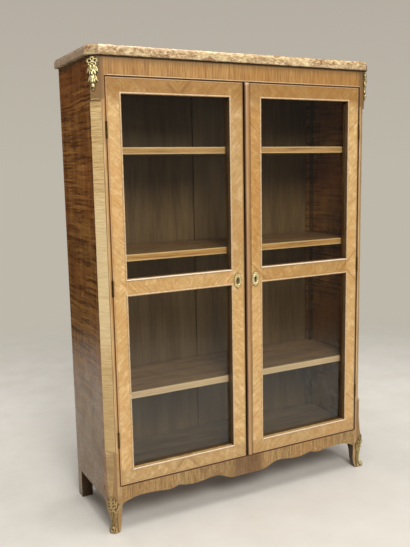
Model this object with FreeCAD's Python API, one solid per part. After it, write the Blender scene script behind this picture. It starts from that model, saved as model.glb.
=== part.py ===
import FreeCAD, Part
import math
import os

V = FreeCAD.Vector

# Glazed two-door bookcase with a marble top. Millimetres, +Z up, front faces -Y.
# The origin is at floor level in the middle of the footprint.

# Overall sizes
OVERALL_W = 1080.0
OVERALL_D = 352.0
OVERALL_H = 1550.0
MARBLE_T = 30.0
MARBLE_OVERHANG = 14.0
MARBLE_CANT = 34.0

# Posts, panels and boards
POST_W = 38.0
POST_D = 45.0
BLOCK_CHAMFER = 18.0
SUNK_CHAMFER = 26.0
SUNK_Z0 = 272.0
SUNK_TOP_MARGIN = 130.0
SUNK_ARCH_R = 40.0
KNEE_TOP = 200.0
FOOT_W = 43.0
REAR_POST_W = 40.0
REAR_POST_D = 38.0
SIDE_T = 20.0
SIDE_Z0 = 102.0
BOARD_T = 18.0
FRIEZE_H = 58.8
FRIEZE_BEAD_R = 1.8
APRON_TOP = 156.0
BOTTOM_BOARD_TOP = 170.0
STOP_H = 56.0
STOP_T = 16.0
BACK_T = 22.0
BACK_TOP_RAIL = 80.0
MUNTIN_W = 68.0
BACK_PANEL_T = 10.0
GROOVE_D = 7.0
TONGUE_T = 7.0

# Shelves
SHELF_AT = (0.214, 0.557, 0.811)
SHELF_T = 22.0
SHELF_SETBACK = 36.0
SHELF_SIDE_GAP = 1.0
PIN_R = 3.0
PIN_IN = 10.0
PIN_OUT = 10.0
PIN_INSET = 55.0

# Doors
DOOR_T = 28.0
DOOR_GAP = 2.5
MEETING_LEFT = -3.0
MEETING_RIGHT = 2.5
HINGE_STILE = 48.5
LEFT_MEETING_STILE = 55.2
RIGHT_MEETING_STILE = 62.8
TOP_RAIL = 50.0
MIDDLE_RAIL = 54.0
BOTTOM_RAIL = 50.0
MIDDLE_RAIL_AT = 0.5013
STILE_EDGE_R = 9.0
TENON_L = 22.0
TENON_T = 8.0
TENON_IN = 5.0
TENON_SHOULDER = 8.0
REBATE_W = 8.0
REBATE_D = 10.0
GLASS_T = 3.0
GLASS_PLAY = 1.0
FRONT_BEAD_W = 6.0
FRONT_BEAD_H = 2.2
STOP_CLEAR = 0.6
CLOSING_W = 18.0
CLOSING_D = 8.0
CLOSING_PROUD = 2.5
CLOSING_GROOVE = 2.5

# Hinges
HINGE_H = 50.0
HINGE_AT = (0.1204, 0.5034, 0.8787)
KNUCKLE_R = 3.2
KNUCKLE_GAP = 0.3
HINGE_PIN_R = 1.5
PIN_FIT = 0.06
HINGE_PROUD = 1.5
LEAF_T = 1.1
LEAF_D = 20.0
RECESS_R = 3.8
SCREW_HEAD_R = 2.5
SCREW_R = 1.3
SCREW_L = 12.0
SCREW_SPREAD = 15.0

# Lock and bolts
LOCK_BELOW_RAIL = 13.3
LOCK_W = 53.5
LOCK_H = 70.0
LOCK_D = 12.0
BOLT_L = 30.5
BOLT_H = 14.0
BOLT_T = 5.0
BOLT_THROW = 10.0
BOLT_CLEAR = 0.3
STRIKE_T = 1.5
STRIKE_H = 50.0
KEY_X = 38.0
FALSE_KEY_X = -34.0
KEY_R = 3.5
FLUSH_X = -31.0
FLUSH_W = 8.0
FLUSH_T = 6.0
FLUSH_L = 70.0
FLUSH_THROW = 12.0
FLUSH_PLATE_W = 18.0
FLUSH_PLATE_T = 2.5
FLUSH_PLATE_H = 90.0
FLUSH_KNOB_R = 3.0

# Cast mounts
ESC_W = 28.0
ESC_H = 51.0
MOUNT_H = 101.0
MOUNT_W = 36.0
SABOT_T = 3.0
SABOT_H = 128.0

FIT = 0.2

# Derived planes
HALF_W = OVERALL_W / 2 - MARBLE_OVERHANG
FRONT = -OVERALL_D / 2 + MARBLE_OVERHANG
REAR = OVERALL_D / 2
TOP = OVERALL_H - MARBLE_T
JAMB = HALF_W - POST_W
FOOT_IN = HALF_W - FOOT_W
SIDE_IN = HALF_W - SIDE_T
REAR_IN = HALF_W - REAR_POST_W
BACK_FACE = REAR - BACK_T
FRIEZE_Z = TOP - FRIEZE_H
DOOR_BACK = FRONT + DOOR_T
STOP_FACE = DOOR_BACK + STOP_CLEAR
DOOR_X = JAMB - DOOR_GAP
DOOR_Z0 = APRON_TOP + DOOR_GAP
DOOR_Z1 = FRIEZE_Z - DOOR_GAP
AXIS_X = JAMB - DOOR_GAP / 2
AXIS_Y = FRONT - HINGE_PROUD
LIP = DOOR_BACK - REBATE_D
BACK_BOTTOM_Z1 = BOTTOM_BOARD_TOP - BOARD_T
BACK_TOP_Z0 = TOP - BACK_TOP_RAIL
INNER_H = TOP - BOARD_T - BOTTOM_BOARD_TOP
SHELF_TOPS = [BOTTOM_BOARD_TOP + part * INNER_H for part in SHELF_AT]
DOOR_H = DOOR_Z1 - DOOR_Z0
MIDDLE_RAIL_Z = DOOR_Z0 + MIDDLE_RAIL_AT * DOOR_H
HINGE_Z = [DOOR_Z0 + part * DOOR_H for part in HINGE_AT]
LOCK_Z = MIDDLE_RAIL_Z - LOCK_BELOW_RAIL
BOLT_Y = LIP + 1.0
FLUSH_Y = DOOR_BACK - FLUSH_PLATE_T - FLUSH_T

# Foot sections: height, side inset, front inset, chamfer, width inwards, depth backwards
FOOT_SECTIONS = (
    (APRON_TOP, 0.0, 0.0, 13.0, FOOT_W, POST_D),
    (130.0, -0.8, -0.8, 9.0, FOOT_W, POST_D),
    (104.0, -1.0, -1.0, 9.0, FOOT_W, POST_D - 1.0),
    (80.0, 2.5, 0.5, 12.0, FOOT_W - 0.5, POST_D - 11.0),
    (55.0, 8.0, 3.0, 13.0, FOOT_W - 2.0, POST_D - 17.0),
    (30.0, 10.0, 4.0, 12.0, FOOT_W - 3.5, POST_D - 19.0),
    (12.0, 7.5, 1.5, 11.0, FOOT_W - 7.0, POST_D - 20.0),
    (0.0, 5.0, -2.0, 10.0, FOOT_W - 11.0, POST_D - 20.0),
)

# Lower edge of the apron from the middle to the foot: x, z
APRON_ARCH = ((66, 90), (86, 97), (101, 104), (118, 110), (140, 112), (165, 109), (190, 105.5),
              (215, 104), (240, 105.5), (262, 110.5), (274, 114))
APRON_EAR = ((274, 114), (286, 110), (302, 106), (318, 105.8), (340, 108.5), (368, 111),
             (395, 112.5), (420, 112.5), (440, 109.5), (458, 104.5), (472, 100), (483, 92))
APRON_SCALE = FOOT_IN / APRON_EAR[-1][0]


def box(x0, x1, y0, y1, z0, z1):
    return Part.makeBox(x1 - x0, y1 - y0, z1 - z0, V(x0, y0, z0))


def prism_z(points, z0, z1):
    wire = Part.makePolygon([V(x, y, z0) for x, y in points + points[:1]])
    return Part.Face(wire).extrude(V(0, 0, z1 - z0))


def prism_y(points, y0, y1):
    wire = Part.makePolygon([V(x, y0, z) for x, z in points + points[:1]])
    return Part.Face(wire).extrude(V(0, y1 - y0, 0))


def rod(radius, length, base, direction):
    return Part.makeCylinder(radius, length, base, direction)


def mirrored(shape):
    return shape.mirror(V(0, 0, 0), V(1, 0, 0))


def cut_all(shape, tools):
    for tool in tools:
        shape = shape.cut(tool)
    return shape


def join(shapes):
    return shapes[0].fuse(shapes[1:]).removeSplitter()


def group(shapes):
    return Part.makeCompound(shapes)


def save(name, shape):
    shape.exportStep("parts/" + name + ".step")


# Corner of the left front post: u runs inwards from the side, v backwards from the front
def corner(u, v):
    return (-HALF_W + u, FRONT + v)


def post_points(au, av, chamfer, width, depth):
    return [
        corner(au, depth),
        corner(au, av + chamfer),
        corner(au + chamfer, av),
        corner(width, av),
        corner(width, depth),
    ]


def section_wire(points, z):
    return Part.makePolygon([V(x, y, z) for x, y in points + points[:1]])


def foot_wire(section, grow=0.0, trim=0.0):
    z, au, av, chamfer, width, depth = section
    points = post_points(au - grow, av - grow, chamfer + 0.6 * grow, width - trim, depth - trim)
    return section_wire(points, z)


# Directions of the canted face of the left front corner
CANT_N = V(-1, -1, 0).normalize()
CANT_T = V(1, -1, 0).normalize()


def cant_origin(chamfer, z):
    x, y = corner(chamfer / 2, chamfer / 2)
    return V(x, y, z)


def cant_point(chamfer, t, z):
    return cant_origin(chamfer, z) + CANT_T * t


def sunk_cutter():
    z0 = SUNK_Z0
    z1 = TOP - SUNK_TOP_MARGIN
    half = 0.85 * SUNK_ARCH_R
    rise = SUNK_ARCH_R - math.sqrt(SUNK_ARCH_R ** 2 - half ** 2)

    def p(t, z):
        return cant_point(SUNK_CHAMFER, t, z)

    edges = [
        Part.Arc(p(-half, z0 + rise), p(0, z0), p(half, z0 + rise)).toShape(),
        Part.makeLine(p(half, z0 + rise), p(half, z1 - rise)),
        Part.Arc(p(half, z1 - rise), p(0, z1), p(-half, z1 - rise)).toShape(),
        Part.makeLine(p(-half, z1 - rise), p(-half, z0 + rise)),
    ]
    return Part.Face(Part.Wire(edges)).extrude(CANT_N * SUNK_CHAMFER)


def side_groove(y0, y1):
    mid = -HALF_W + SIDE_T / 2
    half = TONGUE_T / 2 + FIT
    return box(mid - half, mid + half, y0, y1, SIDE_Z0, TOP)


def rail_tenon(x0, x1, z0, z1, play=0.0):
    y0 = FRONT + TENON_IN + TENON_T / 2
    return box(x0, x1, y0 - play, y0 + TENON_T + play, z0 - play, z1 + play)


# The inner faces stay on the planes that the apron and the side panel meet
def leg_solid():
    loft = Part.makeLoft([foot_wire(s) for s in FOOT_SECTIONS], True, False)
    x0, y0 = corner(-POST_W, -POST_D)
    x1, y1 = corner(FOOT_W, POST_D)
    return loft.common(box(x0, x1, y0, y1, 0, APRON_TOP))


def hinge_recess(x):
    return [
        rod(RECESS_R, HINGE_H + 2, V(x, AXIS_Y, z - HINGE_H / 2 - 1), V(0, 0, 1))
        for z in HINGE_Z
    ]


def screw_points(z):
    y = FRONT + LEAF_D * 0.6
    return [(y, z - SCREW_SPREAD), (y, z + SCREW_SPREAD)]


def screw(base, direction):
    head = rod(SCREW_HEAD_R, LEAF_T - FIT, base, direction)
    shank = rod(SCREW_R, SCREW_L, base + direction * (LEAF_T - FIT), direction)
    return join([head, shank])


def screw_holes(x, direction):
    holes = []
    for z in HINGE_Z:
        for y, zs in screw_points(z):
            holes.append(rod(SCREW_R + 0.05, SCREW_L + LEAF_T, V(x, y, zs), direction))
    return holes


def front_post():
    upper = prism_z(post_points(0, 0, BLOCK_CHAMFER, POST_W, POST_D), KNEE_TOP, TOP)
    knee_low = FOOT_SECTIONS[0]
    knee = Part.makeLoft([
        section_wire(post_points(0, 0, BLOCK_CHAMFER, POST_W, POST_D), KNEE_TOP),
        section_wire(post_points(0, 0, knee_low[3], POST_W, POST_D), APRON_TOP),
    ], True, True)
    post = join([upper, knee, leg_solid()])
    tools = [sunk_cutter()]
    tools.append(side_groove(FRONT + POST_D - GROOVE_D - FIT, FRONT + POST_D))
    tools.append(rail_tenon(-JAMB - TENON_L - FIT, -JAMB, FRIEZE_Z + TENON_SHOULDER,
                            TOP - TENON_SHOULDER, FIT))
    tools.append(rail_tenon(-FOOT_IN - TENON_L - FIT, -FOOT_IN, APRON_TOP - 44, APRON_TOP - 6, FIT))
    tools += hinge_recess(-AXIS_X)
    tools += screw_holes(-JAMB + LEAF_T, V(-1, 0, 0))
    return cut_all(post, tools)


def rear_post():
    post = box(-HALF_W, -REAR_IN, REAR - REAR_POST_D, REAR, 0, TOP)
    y0 = REAR - REAR_POST_D
    groove = side_groove(y0, y0 + GROOVE_D + FIT)
    return cut_all(post, [groove, back_groove(-REAR_IN - GROOVE_D - FIT, -REAR_IN)])


def back_panel_y():
    mid = REAR - BACK_T / 2
    return mid - BACK_PANEL_T / 2, mid + BACK_PANEL_T / 2


def back_groove(x0, x1):
    y0, y1 = back_panel_y()
    return box(x0, x1, y0 - FIT, y1 + FIT, BACK_BOTTOM_Z1 - GROOVE_D - FIT, BACK_TOP_Z0 + GROOVE_D + FIT)


def side_panel():
    y0 = FRONT + POST_D
    y1 = REAR - REAR_POST_D
    mid = -HALF_W + SIDE_T / 2
    panel = box(-HALF_W, -SIDE_IN, y0, y1, SIDE_Z0, TOP)
    tongue = box(mid - TONGUE_T / 2, mid + TONGUE_T / 2, y0 - GROOVE_D, y1 + GROOVE_D, SIDE_Z0, TOP)
    holes = []
    for x, y, z in pin_places():
        holes.append(rod(PIN_R + 0.05, PIN_IN, V(-SIDE_IN - PIN_IN, y, z), V(1, 0, 0)))
    return cut_all(join([panel, tongue]), holes)


def pin_places():
    places = []
    for top in SHELF_TOPS:
        for y in (FRONT + POST_D + PIN_INSET, REAR - REAR_POST_D - PIN_INSET):
            places.append((-SIDE_IN, y, top - SHELF_T - PIN_R))
    return places


def shelf_pin(x, y, z):
    shank = rod(PIN_R, PIN_IN, V(x - PIN_IN, y, z), V(1, 0, 0))
    collar = rod(PIN_R + 1.5, 1.5, V(x, y, z), V(1, 0, 0))
    collar = collar.cut(box(x, x + 2, y - 9, y + 9, z + PIN_R, z + 9))
    tongue = box(x, x + PIN_OUT, y - 4, y + 4, z + PIN_R - 3, z + PIN_R)
    return join([shank, collar, tongue])


# Board between the side panels, cut round the four posts
def board(front, rear, z0, z1, side, jamb=JAMB, play=FIT):
    front_x = jamb - play
    front_y = FRONT + POST_D + play
    rear_x = REAR_IN - play
    rear_y = REAR - REAR_POST_D - play
    right = [(front_x, front), (front_x, front_y), (side, front_y), (side, rear_y),
             (rear_x, rear_y), (rear_x, rear)]
    left = [(-x, y) for x, y in reversed(right)]
    return prism_z(right + left, z0, z1)


def top_outline(inset, z):
    w = OVERALL_W / 2 - inset
    y0 = -OVERALL_D / 2 + inset
    y1 = OVERALL_D / 2
    c = MARBLE_CANT - (2 - math.sqrt(2)) * inset
    points = [(-w, y1), (-w, y0 + c), (-w + c, y0), (w - c, y0), (w, y0 + c), (w, y1)]
    return section_wire(points, z)


def marble_top():
    profile = [(0.0, 2.0), (0.07, 0.4), (0.15, 0.0), (0.45, 0.0)]
    steps = 6
    for i in range(1, steps + 1):
        angle = math.pi / 2 * i / steps
        profile.append((0.45 + 0.55 * math.sin(angle), 10.0 * (1 - math.cos(angle))))
    wires = [top_outline(inset, TOP + MARBLE_T * h) for h, inset in profile]
    return Part.makeLoft(wires, True, True)


def flush_socket(z0, z1):
    half = FLUSH_W / 2 + 0.5
    return box(FLUSH_X - half, FLUSH_X + half, FLUSH_Y - 0.5, FLUSH_Y + FLUSH_T + 0.5, z0, z1)


def frieze_rail():
    rail = box(-JAMB, JAMB, FRONT, STOP_FACE, FRIEZE_Z, TOP)
    tenon = rail_tenon(-JAMB - TENON_L, JAMB + TENON_L, FRIEZE_Z + TENON_SHOULDER, TOP - TENON_SHOULDER)
    return join([rail, tenon]).cut(flush_socket(FRIEZE_Z, FRIEZE_Z + FLUSH_THROW + 2))


def frieze_bead():
    z = FRIEZE_Z + FRIEZE_BEAD_R
    bead = rod(FRIEZE_BEAD_R, 2 * JAMB, V(-JAMB, FRONT, z), V(1, 0, 0))
    return bead.common(box(-JAMB, JAMB, FRONT - 5, FRONT, z - 5, z + 5))


def apron_curve(points, sign):
    curve = Part.BSplineCurve()
    curve.interpolate([V(sign * x * APRON_SCALE, FRONT, z) for x, z in points])
    return curve.toShape()


def apron_rail():
    flat_x = APRON_ARCH[0][0] * APRON_SCALE
    flat_z = APRON_ARCH[0][1]
    end_z = APRON_EAR[-1][1]
    edges = [Part.makeLine(V(-flat_x, FRONT, flat_z), V(flat_x, FRONT, flat_z))]
    for sign in (-1, 1):
        edges.append(apron_curve(APRON_ARCH, sign))
        edges.append(apron_curve(APRON_EAR, sign))
        edges.append(Part.makeLine(V(sign * FOOT_IN, FRONT, end_z), V(sign * FOOT_IN, FRONT, APRON_TOP)))
    edges.append(Part.makeLine(V(-FOOT_IN, FRONT, APRON_TOP), V(FOOT_IN, FRONT, APRON_TOP)))
    wire = Part.Wire(Part.__sortEdges__(edges))
    rail = Part.Face(wire).extrude(V(0, STOP_FACE - FRONT, 0))
    tenon = rail_tenon(-FOOT_IN - TENON_L, FOOT_IN + TENON_L, APRON_TOP - 44, APRON_TOP - 6)
    tenon = tenon.cut(box(-FOOT_IN + 5, FOOT_IN - 5, FRONT, STOP_FACE, 0, TOP))
    return join([rail, tenon]).cut(flush_socket(APRON_TOP - FLUSH_THROW - 2, APRON_TOP))


def back_rail(z0, z1, low):
    y0, y1 = back_panel_y()
    rail = box(-REAR_IN, REAR_IN, BACK_FACE, REAR, z0, z1)
    if low:
        return rail.cut(box(-REAR_IN, REAR_IN, y0 - FIT, y1 + FIT, z1 - GROOVE_D - FIT, z1))
    return rail.cut(box(-REAR_IN, REAR_IN, y0 - FIT, y1 + FIT, z0, z0 + GROOVE_D + FIT))


def back_muntin():
    y0, y1 = back_panel_y()
    half = MUNTIN_W / 2
    body = box(-half, half, BACK_FACE, REAR, BACK_BOTTOM_Z1, BACK_TOP_Z0)
    tenon = box(-half, half, y0, y1, BACK_BOTTOM_Z1 - GROOVE_D, BACK_TOP_Z0 + GROOVE_D)
    muntin = join([body, tenon])
    grooves = []
    for x0 in (-half, half - GROOVE_D - FIT):
        grooves.append(back_groove(x0, x0 + GROOVE_D + FIT))
    return cut_all(muntin, grooves)


def back_panel():
    y0, y1 = back_panel_y()
    x0 = -REAR_IN - GROOVE_D
    x1 = -MUNTIN_W / 2 + GROOVE_D
    return box(x0, x1, y0, y1, BACK_BOTTOM_Z1 - GROOVE_D, BACK_TOP_Z0 + GROOVE_D)


# Sight sizes of the two panes of a door: x0, x1, z0, z1
def pane_rects(x0, x1):
    low = (x0, x1, DOOR_Z0 + BOTTOM_RAIL, MIDDLE_RAIL_Z - MIDDLE_RAIL / 2)
    high = (x0, x1, MIDDLE_RAIL_Z + MIDDLE_RAIL / 2, DOOR_Z1 - TOP_RAIL)
    return [low, high]


def pane_box(rect, grow, y0, y1):
    x0, x1, z0, z1 = rect
    return box(x0 - grow, x1 + grow, y0, y1, z0 - grow, z1 + grow)


def rail_spans():
    return {
        "bottom": (DOOR_Z0, DOOR_Z0 + BOTTOM_RAIL),
        "middle": (MIDDLE_RAIL_Z - MIDDLE_RAIL / 2, MIDDLE_RAIL_Z + MIDDLE_RAIL / 2),
        "top": (DOOR_Z1 - TOP_RAIL, DOOR_Z1),
    }


def door_tenon(x0, x1, z0, z1, play=0.0):
    y0 = FRONT + TENON_IN
    low = z0 + TENON_SHOULDER - play
    high = z1 - TENON_SHOULDER + play
    return box(x0, x1, y0 - play, y0 + TENON_T + play, low, high)


def mortises(x0, x1):
    return [door_tenon(x0, x1, z0, z1, FIT) for z0, z1 in rail_spans().values()]


def rebates(sight):
    return [pane_box(rect, REBATE_W, LIP, DOOR_BACK) for rect in pane_rects(*sight)]


def door_rail(name, sight):
    z0, z1 = rail_spans()[name]
    x0, x1 = sight
    rail = box(x0, x1, FRONT, DOOR_BACK, z0, z1)
    tenon = door_tenon(x0 - TENON_L, x1 + TENON_L, z0, z1)
    return cut_all(join([rail, tenon]), rebates(sight))


# Trapezoid of one mitred strip laid outside a sight opening
def mitre(rect, width, side, y0, y1):
    x0, x1, z0, z1 = rect
    outer = {
        "low": [(x0 - width, z0 - width), (x1 + width, z0 - width), (x1, z0), (x0, z0)],
        "high": [(x0 - width, z1 + width), (x1 + width, z1 + width), (x1, z1), (x0, z1)],
        "left": [(x0 - width, z0 - width), (x0, z0), (x0, z1), (x0 - width, z1 + width)],
        "right": [(x1 + width, z0 - width), (x1, z0), (x1, z1), (x1 + width, z1 + width)],
    }
    return prism_y(outer[side], y0, y1)


def glazing_strips(sight):
    strips = []
    for rect in pane_rects(*sight):
        for side in ("low", "high", "left", "right"):
            strips.append(mitre(rect, REBATE_W, side, LIP + GLASS_T, DOOR_BACK))
    return strips


# Rounded bead along one side of an opening, lying on the front face
def bead_bar(rect, side):
    x0, x1, z0, z1 = rect
    w = FRONT_BEAD_W
    if side in ("low", "high"):
        a = z0 - w if side == "low" else z1
        start = [V(x0 - w, FRONT, a), V(x0 - w, FRONT - FRONT_BEAD_H, a + w / 2), V(x0 - w, FRONT, a + w)]
        run = V(x1 - x0 + 2 * w, 0, 0)
    else:
        a = x0 - w if side == "left" else x1
        start = [V(a, FRONT, z0 - w), V(a + w / 2, FRONT - FRONT_BEAD_H, z0 - w), V(a + w, FRONT, z0 - w)]
        run = V(0, 0, z1 - z0 + 2 * w)
    arc = Part.Arc(*start).toShape()
    wire = Part.Wire([arc, Part.makeLine(start[2], start[0])])
    return Part.Face(wire).extrude(run)


def front_beads(sight):
    strips = []
    for rect in pane_rects(*sight):
        for side in ("low", "high", "left", "right"):
            bar = bead_bar(rect, side)
            strips.append(bar.common(mitre(rect, FRONT_BEAD_W, side, FRONT - 5, FRONT)))
    return strips


def panes(sight):
    grow = REBATE_W - GLASS_PLAY
    low, high = pane_rects(*sight)
    return pane_box(low, grow, LIP, LIP + GLASS_T), pane_box(high, grow, LIP, LIP + GLASS_T)


def keyhole(x, y0, y1):
    bow = rod(KEY_R, y1 - y0, V(x, y0, LOCK_Z + 3), V(0, 1, 0))
    slot = box(x - 1.6, x + 1.6, y0, y1, LOCK_Z - 8, LOCK_Z + 3)
    return bow.fuse(slot)


LEFT_SIGHT = (-DOOR_X + HINGE_STILE, MEETING_LEFT - LEFT_MEETING_STILE)
RIGHT_SIGHT = (MEETING_RIGHT + RIGHT_MEETING_STILE, DOOR_X - HINGE_STILE)


def hinge_stile(sight):
    stile = box(-DOOR_X, sight[0], FRONT, DOOR_BACK, DOOR_Z0, DOOR_Z1)
    tools = rebates(sight)
    tools += mortises(sight[0] - TENON_L - FIT, sight[0])
    tools += hinge_recess(-AXIS_X)
    tools += screw_holes(-DOOR_X - LEAF_T, V(1, 0, 0))
    return cut_all(stile, tools)


def strike_box(play):
    z0 = LOCK_Z - STRIKE_H / 2 - play
    z1 = LOCK_Z + STRIKE_H / 2 + play
    return box(MEETING_LEFT - STRIKE_T, MEETING_LEFT, LIP - 2 - play, DOOR_BACK - 2 + play, z0, z1)


def bolt_box(x0, x1, play):
    return box(x0, x1, BOLT_Y - play, BOLT_Y + BOLT_T + play, LOCK_Z - BOLT_H / 2 - play,
               LOCK_Z + BOLT_H / 2 + play)


def flush_plate_z(high):
    return (DOOR_Z1 - FLUSH_PLATE_H, DOOR_Z1) if high else (DOOR_Z0, DOOR_Z0 + FLUSH_PLATE_H)


def flush_bolt_z(high):
    if high:
        return DOOR_Z1 - 0.5 - FLUSH_L, DOOR_Z1 - 0.5
    return DOOR_Z0 + 0.5, DOOR_Z0 + 0.5 + FLUSH_L


def flush_plate_box(high, play):
    z0, z1 = flush_plate_z(high)
    half = FLUSH_PLATE_W / 2 + play
    low = z0 - (play if high else 0)
    top = z1 + (0 if high else play)
    return box(FLUSH_X - half, FLUSH_X + half, DOOR_BACK - FLUSH_PLATE_T, DOOR_BACK, low, top)


def flush_channel(high):
    z0, z1 = flush_bolt_z(high)
    half = FLUSH_W / 2 + BOLT_CLEAR
    low = z0 - 1 if high else DOOR_Z0
    top = DOOR_Z1 if high else z1 + 1
    return box(FLUSH_X - half, FLUSH_X + half, FLUSH_Y - BOLT_CLEAR, DOOR_BACK - FLUSH_PLATE_T, low, top)


def knob_z(high):
    z0, z1 = flush_bolt_z(high)
    return z0 + 12 if high else z1 - 12


def left_meeting_stile():
    x0 = LEFT_SIGHT[1]
    r = STILE_EDGE_R
    cx = MEETING_LEFT - r
    cy = FRONT + r
    k = r * math.sqrt(0.5)
    arc = Part.Arc(V(cx, FRONT, DOOR_Z0), V(cx + k, cy - k, DOOR_Z0), V(MEETING_LEFT, cy, DOOR_Z0)).toShape()
    edges = [
        Part.makeLine(V(x0, FRONT, DOOR_Z0), V(cx, FRONT, DOOR_Z0)),
        arc,
        Part.makeLine(V(MEETING_LEFT, cy, DOOR_Z0), V(MEETING_LEFT, DOOR_BACK, DOOR_Z0)),
        Part.makeLine(V(MEETING_LEFT, DOOR_BACK, DOOR_Z0), V(x0, DOOR_BACK, DOOR_Z0)),
        Part.makeLine(V(x0, DOOR_BACK, DOOR_Z0), V(x0, FRONT, DOOR_Z0)),
    ]
    stile = Part.Face(Part.Wire(edges)).extrude(V(0, 0, DOOR_Z1 - DOOR_Z0))
    tools = rebates(LEFT_SIGHT)
    tools += mortises(x0, x0 + TENON_L + FIT)
    tools.append(strike_box(0))
    tools.append(bolt_box(MEETING_LEFT - STRIKE_T - BOLT_THROW, MEETING_LEFT, 0.6))
    tools.append(keyhole(FALSE_KEY_X, FRONT, FRONT + TENON_IN - 1))
    for high in (False, True):
        tools.append(flush_plate_box(high, FIT))
        tools.append(flush_channel(high))
    return cut_all(stile, tools)


def lock_space(play):
    return box(MEETING_RIGHT, MEETING_RIGHT + LOCK_W + play, DOOR_BACK - LOCK_D, DOOR_BACK,
               LOCK_Z - LOCK_H / 2 - play, LOCK_Z + LOCK_H / 2 + play)


def closing_space(extra):
    return box(MEETING_RIGHT, MEETING_RIGHT + CLOSING_W + extra, FRONT, FRONT + CLOSING_D, DOOR_Z0, DOOR_Z1)


def right_meeting_stile():
    x1 = RIGHT_SIGHT[0]
    stile = box(MEETING_RIGHT, x1, FRONT, DOOR_BACK, DOOR_Z0, DOOR_Z1)
    tools = rebates(RIGHT_SIGHT)
    tools += mortises(x1 - TENON_L - FIT, x1)
    tools.append(lock_space(FIT))
    tools.append(closing_space(0))
    x0 = MEETING_RIGHT + CLOSING_W
    tools.append(box(x0, x0 + CLOSING_GROOVE, FRONT, FRONT + 2, DOOR_Z0, DOOR_Z1))
    tools.append(keyhole(KEY_X, FRONT, DOOR_BACK - LOCK_D))
    return cut_all(stile, tools)


def closing_strip():
    x0 = MEETING_RIGHT
    x1 = MEETING_RIGHT + CLOSING_W
    shoulder = FRONT + 3.0
    arc = Part.Arc(V(x0, shoulder, DOOR_Z0), V((x0 + x1) / 2, FRONT - CLOSING_PROUD, DOOR_Z0),
                   V(x1, shoulder, DOOR_Z0)).toShape()
    back = FRONT + CLOSING_D
    line = Part.makePolygon([V(x1, shoulder, DOOR_Z0), V(x1, back, DOOR_Z0), V(x0, back, DOOR_Z0),
                             V(x0, shoulder, DOOR_Z0)])
    return Part.Face(Part.Wire([arc] + line.Edges)).extrude(V(0, 0, DOOR_Z1 - DOOR_Z0))


def lock_case():
    case = lock_space(0)
    channel = bolt_box(MEETING_RIGHT, MEETING_RIGHT + BOLT_L + 2, BOLT_CLEAR)
    key = keyhole(KEY_X, DOOR_BACK - LOCK_D, DOOR_BACK - LOCK_D + 6)
    return cut_all(case, [channel, key])


def lock_bolt():
    x0 = MEETING_RIGHT + 0.4
    return bolt_box(x0, x0 + BOLT_L, 0)


def strike_plate():
    return strike_box(0).cut(bolt_box(MEETING_LEFT - STRIKE_T, MEETING_LEFT, 0.6))


def flush_plate(high):
    z = knob_z(high)
    r = FLUSH_KNOB_R + 0.4
    sweep = FLUSH_THROW if high else -FLUSH_THROW
    z0 = min(z, z + sweep)
    z1 = max(z, z + sweep)
    slot = box(FLUSH_X - r, FLUSH_X + r, DOOR_BACK - FLUSH_PLATE_T, DOOR_BACK, z0 - r, z1 + r)
    return flush_plate_box(high, 0).cut(slot)


def flush_bolt(high):
    z0, z1 = flush_bolt_z(high)
    bar = box(FLUSH_X - FLUSH_W / 2, FLUSH_X + FLUSH_W / 2, FLUSH_Y, FLUSH_Y + FLUSH_T - BOLT_CLEAR, z0, z1)
    knob = rod(FLUSH_KNOB_R, 9, V(FLUSH_X, FLUSH_Y + 1, knob_z(high)), V(0, 1, 0))
    return join([bar, knob])


# Knuckle spans of a hinge: outer two belong to the post, the middle one to the door
def knuckles(z, on_post):
    low = z - HINGE_H / 2
    third = HINGE_H / 3
    g = KNUCKLE_GAP / 2
    if on_post:
        return [(low, low + third - g), (low + 2 * third + g, low + HINGE_H)]
    return [(low + third + g, low + 2 * third - g)]


def hinge_leaf(z, on_post):
    x0 = -JAMB if on_post else -DOOR_X - LEAF_T
    low = z - HINGE_H / 2
    flat_y = AXIS_Y + RECESS_R + 0.2
    leaf = box(x0, x0 + LEAF_T, flat_y, FRONT + LEAF_D, low, low + HINGE_H)
    parts = [leaf]
    for z0, z1 in knuckles(z, on_post):
        parts.append(rod(KNUCKLE_R, z1 - z0, V(-AXIS_X, AXIS_Y, z0), V(0, 0, 1)))
        parts.append(box(x0, x0 + LEAF_T, AXIS_Y + 1, flat_y + 1, z0, z1))
    leaf = join(parts)
    bore = rod(HINGE_PIN_R + PIN_FIT, HINGE_H + 2, V(-AXIS_X, AXIS_Y, low - 1), V(0, 0, 1))
    tools = [bore]
    for y, zs in screw_points(z):
        tools.append(rod(SCREW_HEAD_R + 0.05, LEAF_T + 2, V(x0 - 1, y, zs), V(1, 0, 0)))
    return cut_all(leaf, tools)


def hinge_pin(z):
    shank = rod(HINGE_PIN_R, HINGE_H + 0.4, V(-AXIS_X, AXIS_Y, z - HINGE_H / 2 - 0.2), V(0, 0, 1))
    caps = []
    for base, way in ((z + HINGE_H / 2, 1), (z - HINGE_H / 2, -1)):
        caps.append(rod(KNUCKLE_R - 0.4, 1.0, V(-AXIS_X, AXIS_Y, base), V(0, 0, way)))
    return join([shank] + caps)


def leaf_screws(on_post):
    screws = []
    for z in HINGE_Z:
        for y, zs in screw_points(z):
            if on_post:
                screws.append(screw(V(-JAMB + LEAF_T, y, zs), V(-1, 0, 0)))
            else:
                screws.append(screw(V(-DOOR_X - LEAF_T, y, zs), V(1, 0, 0)))
    return screws


def ellipse_disc(x, rx, rz, y0, y1):
    curve = Part.Ellipse(V(0, 0, 0), rz, rx)
    face = Part.Face(Part.Wire([curve.toShape()]))
    face.rotate(V(0, 0, 0), V(0, 0, 1), 90)
    face.rotate(V(0, 0, 0), V(1, 0, 0), 90)
    face.translate(V(x, y1, LOCK_Z))
    return face.extrude(V(0, y0 - y1, 0))


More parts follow.
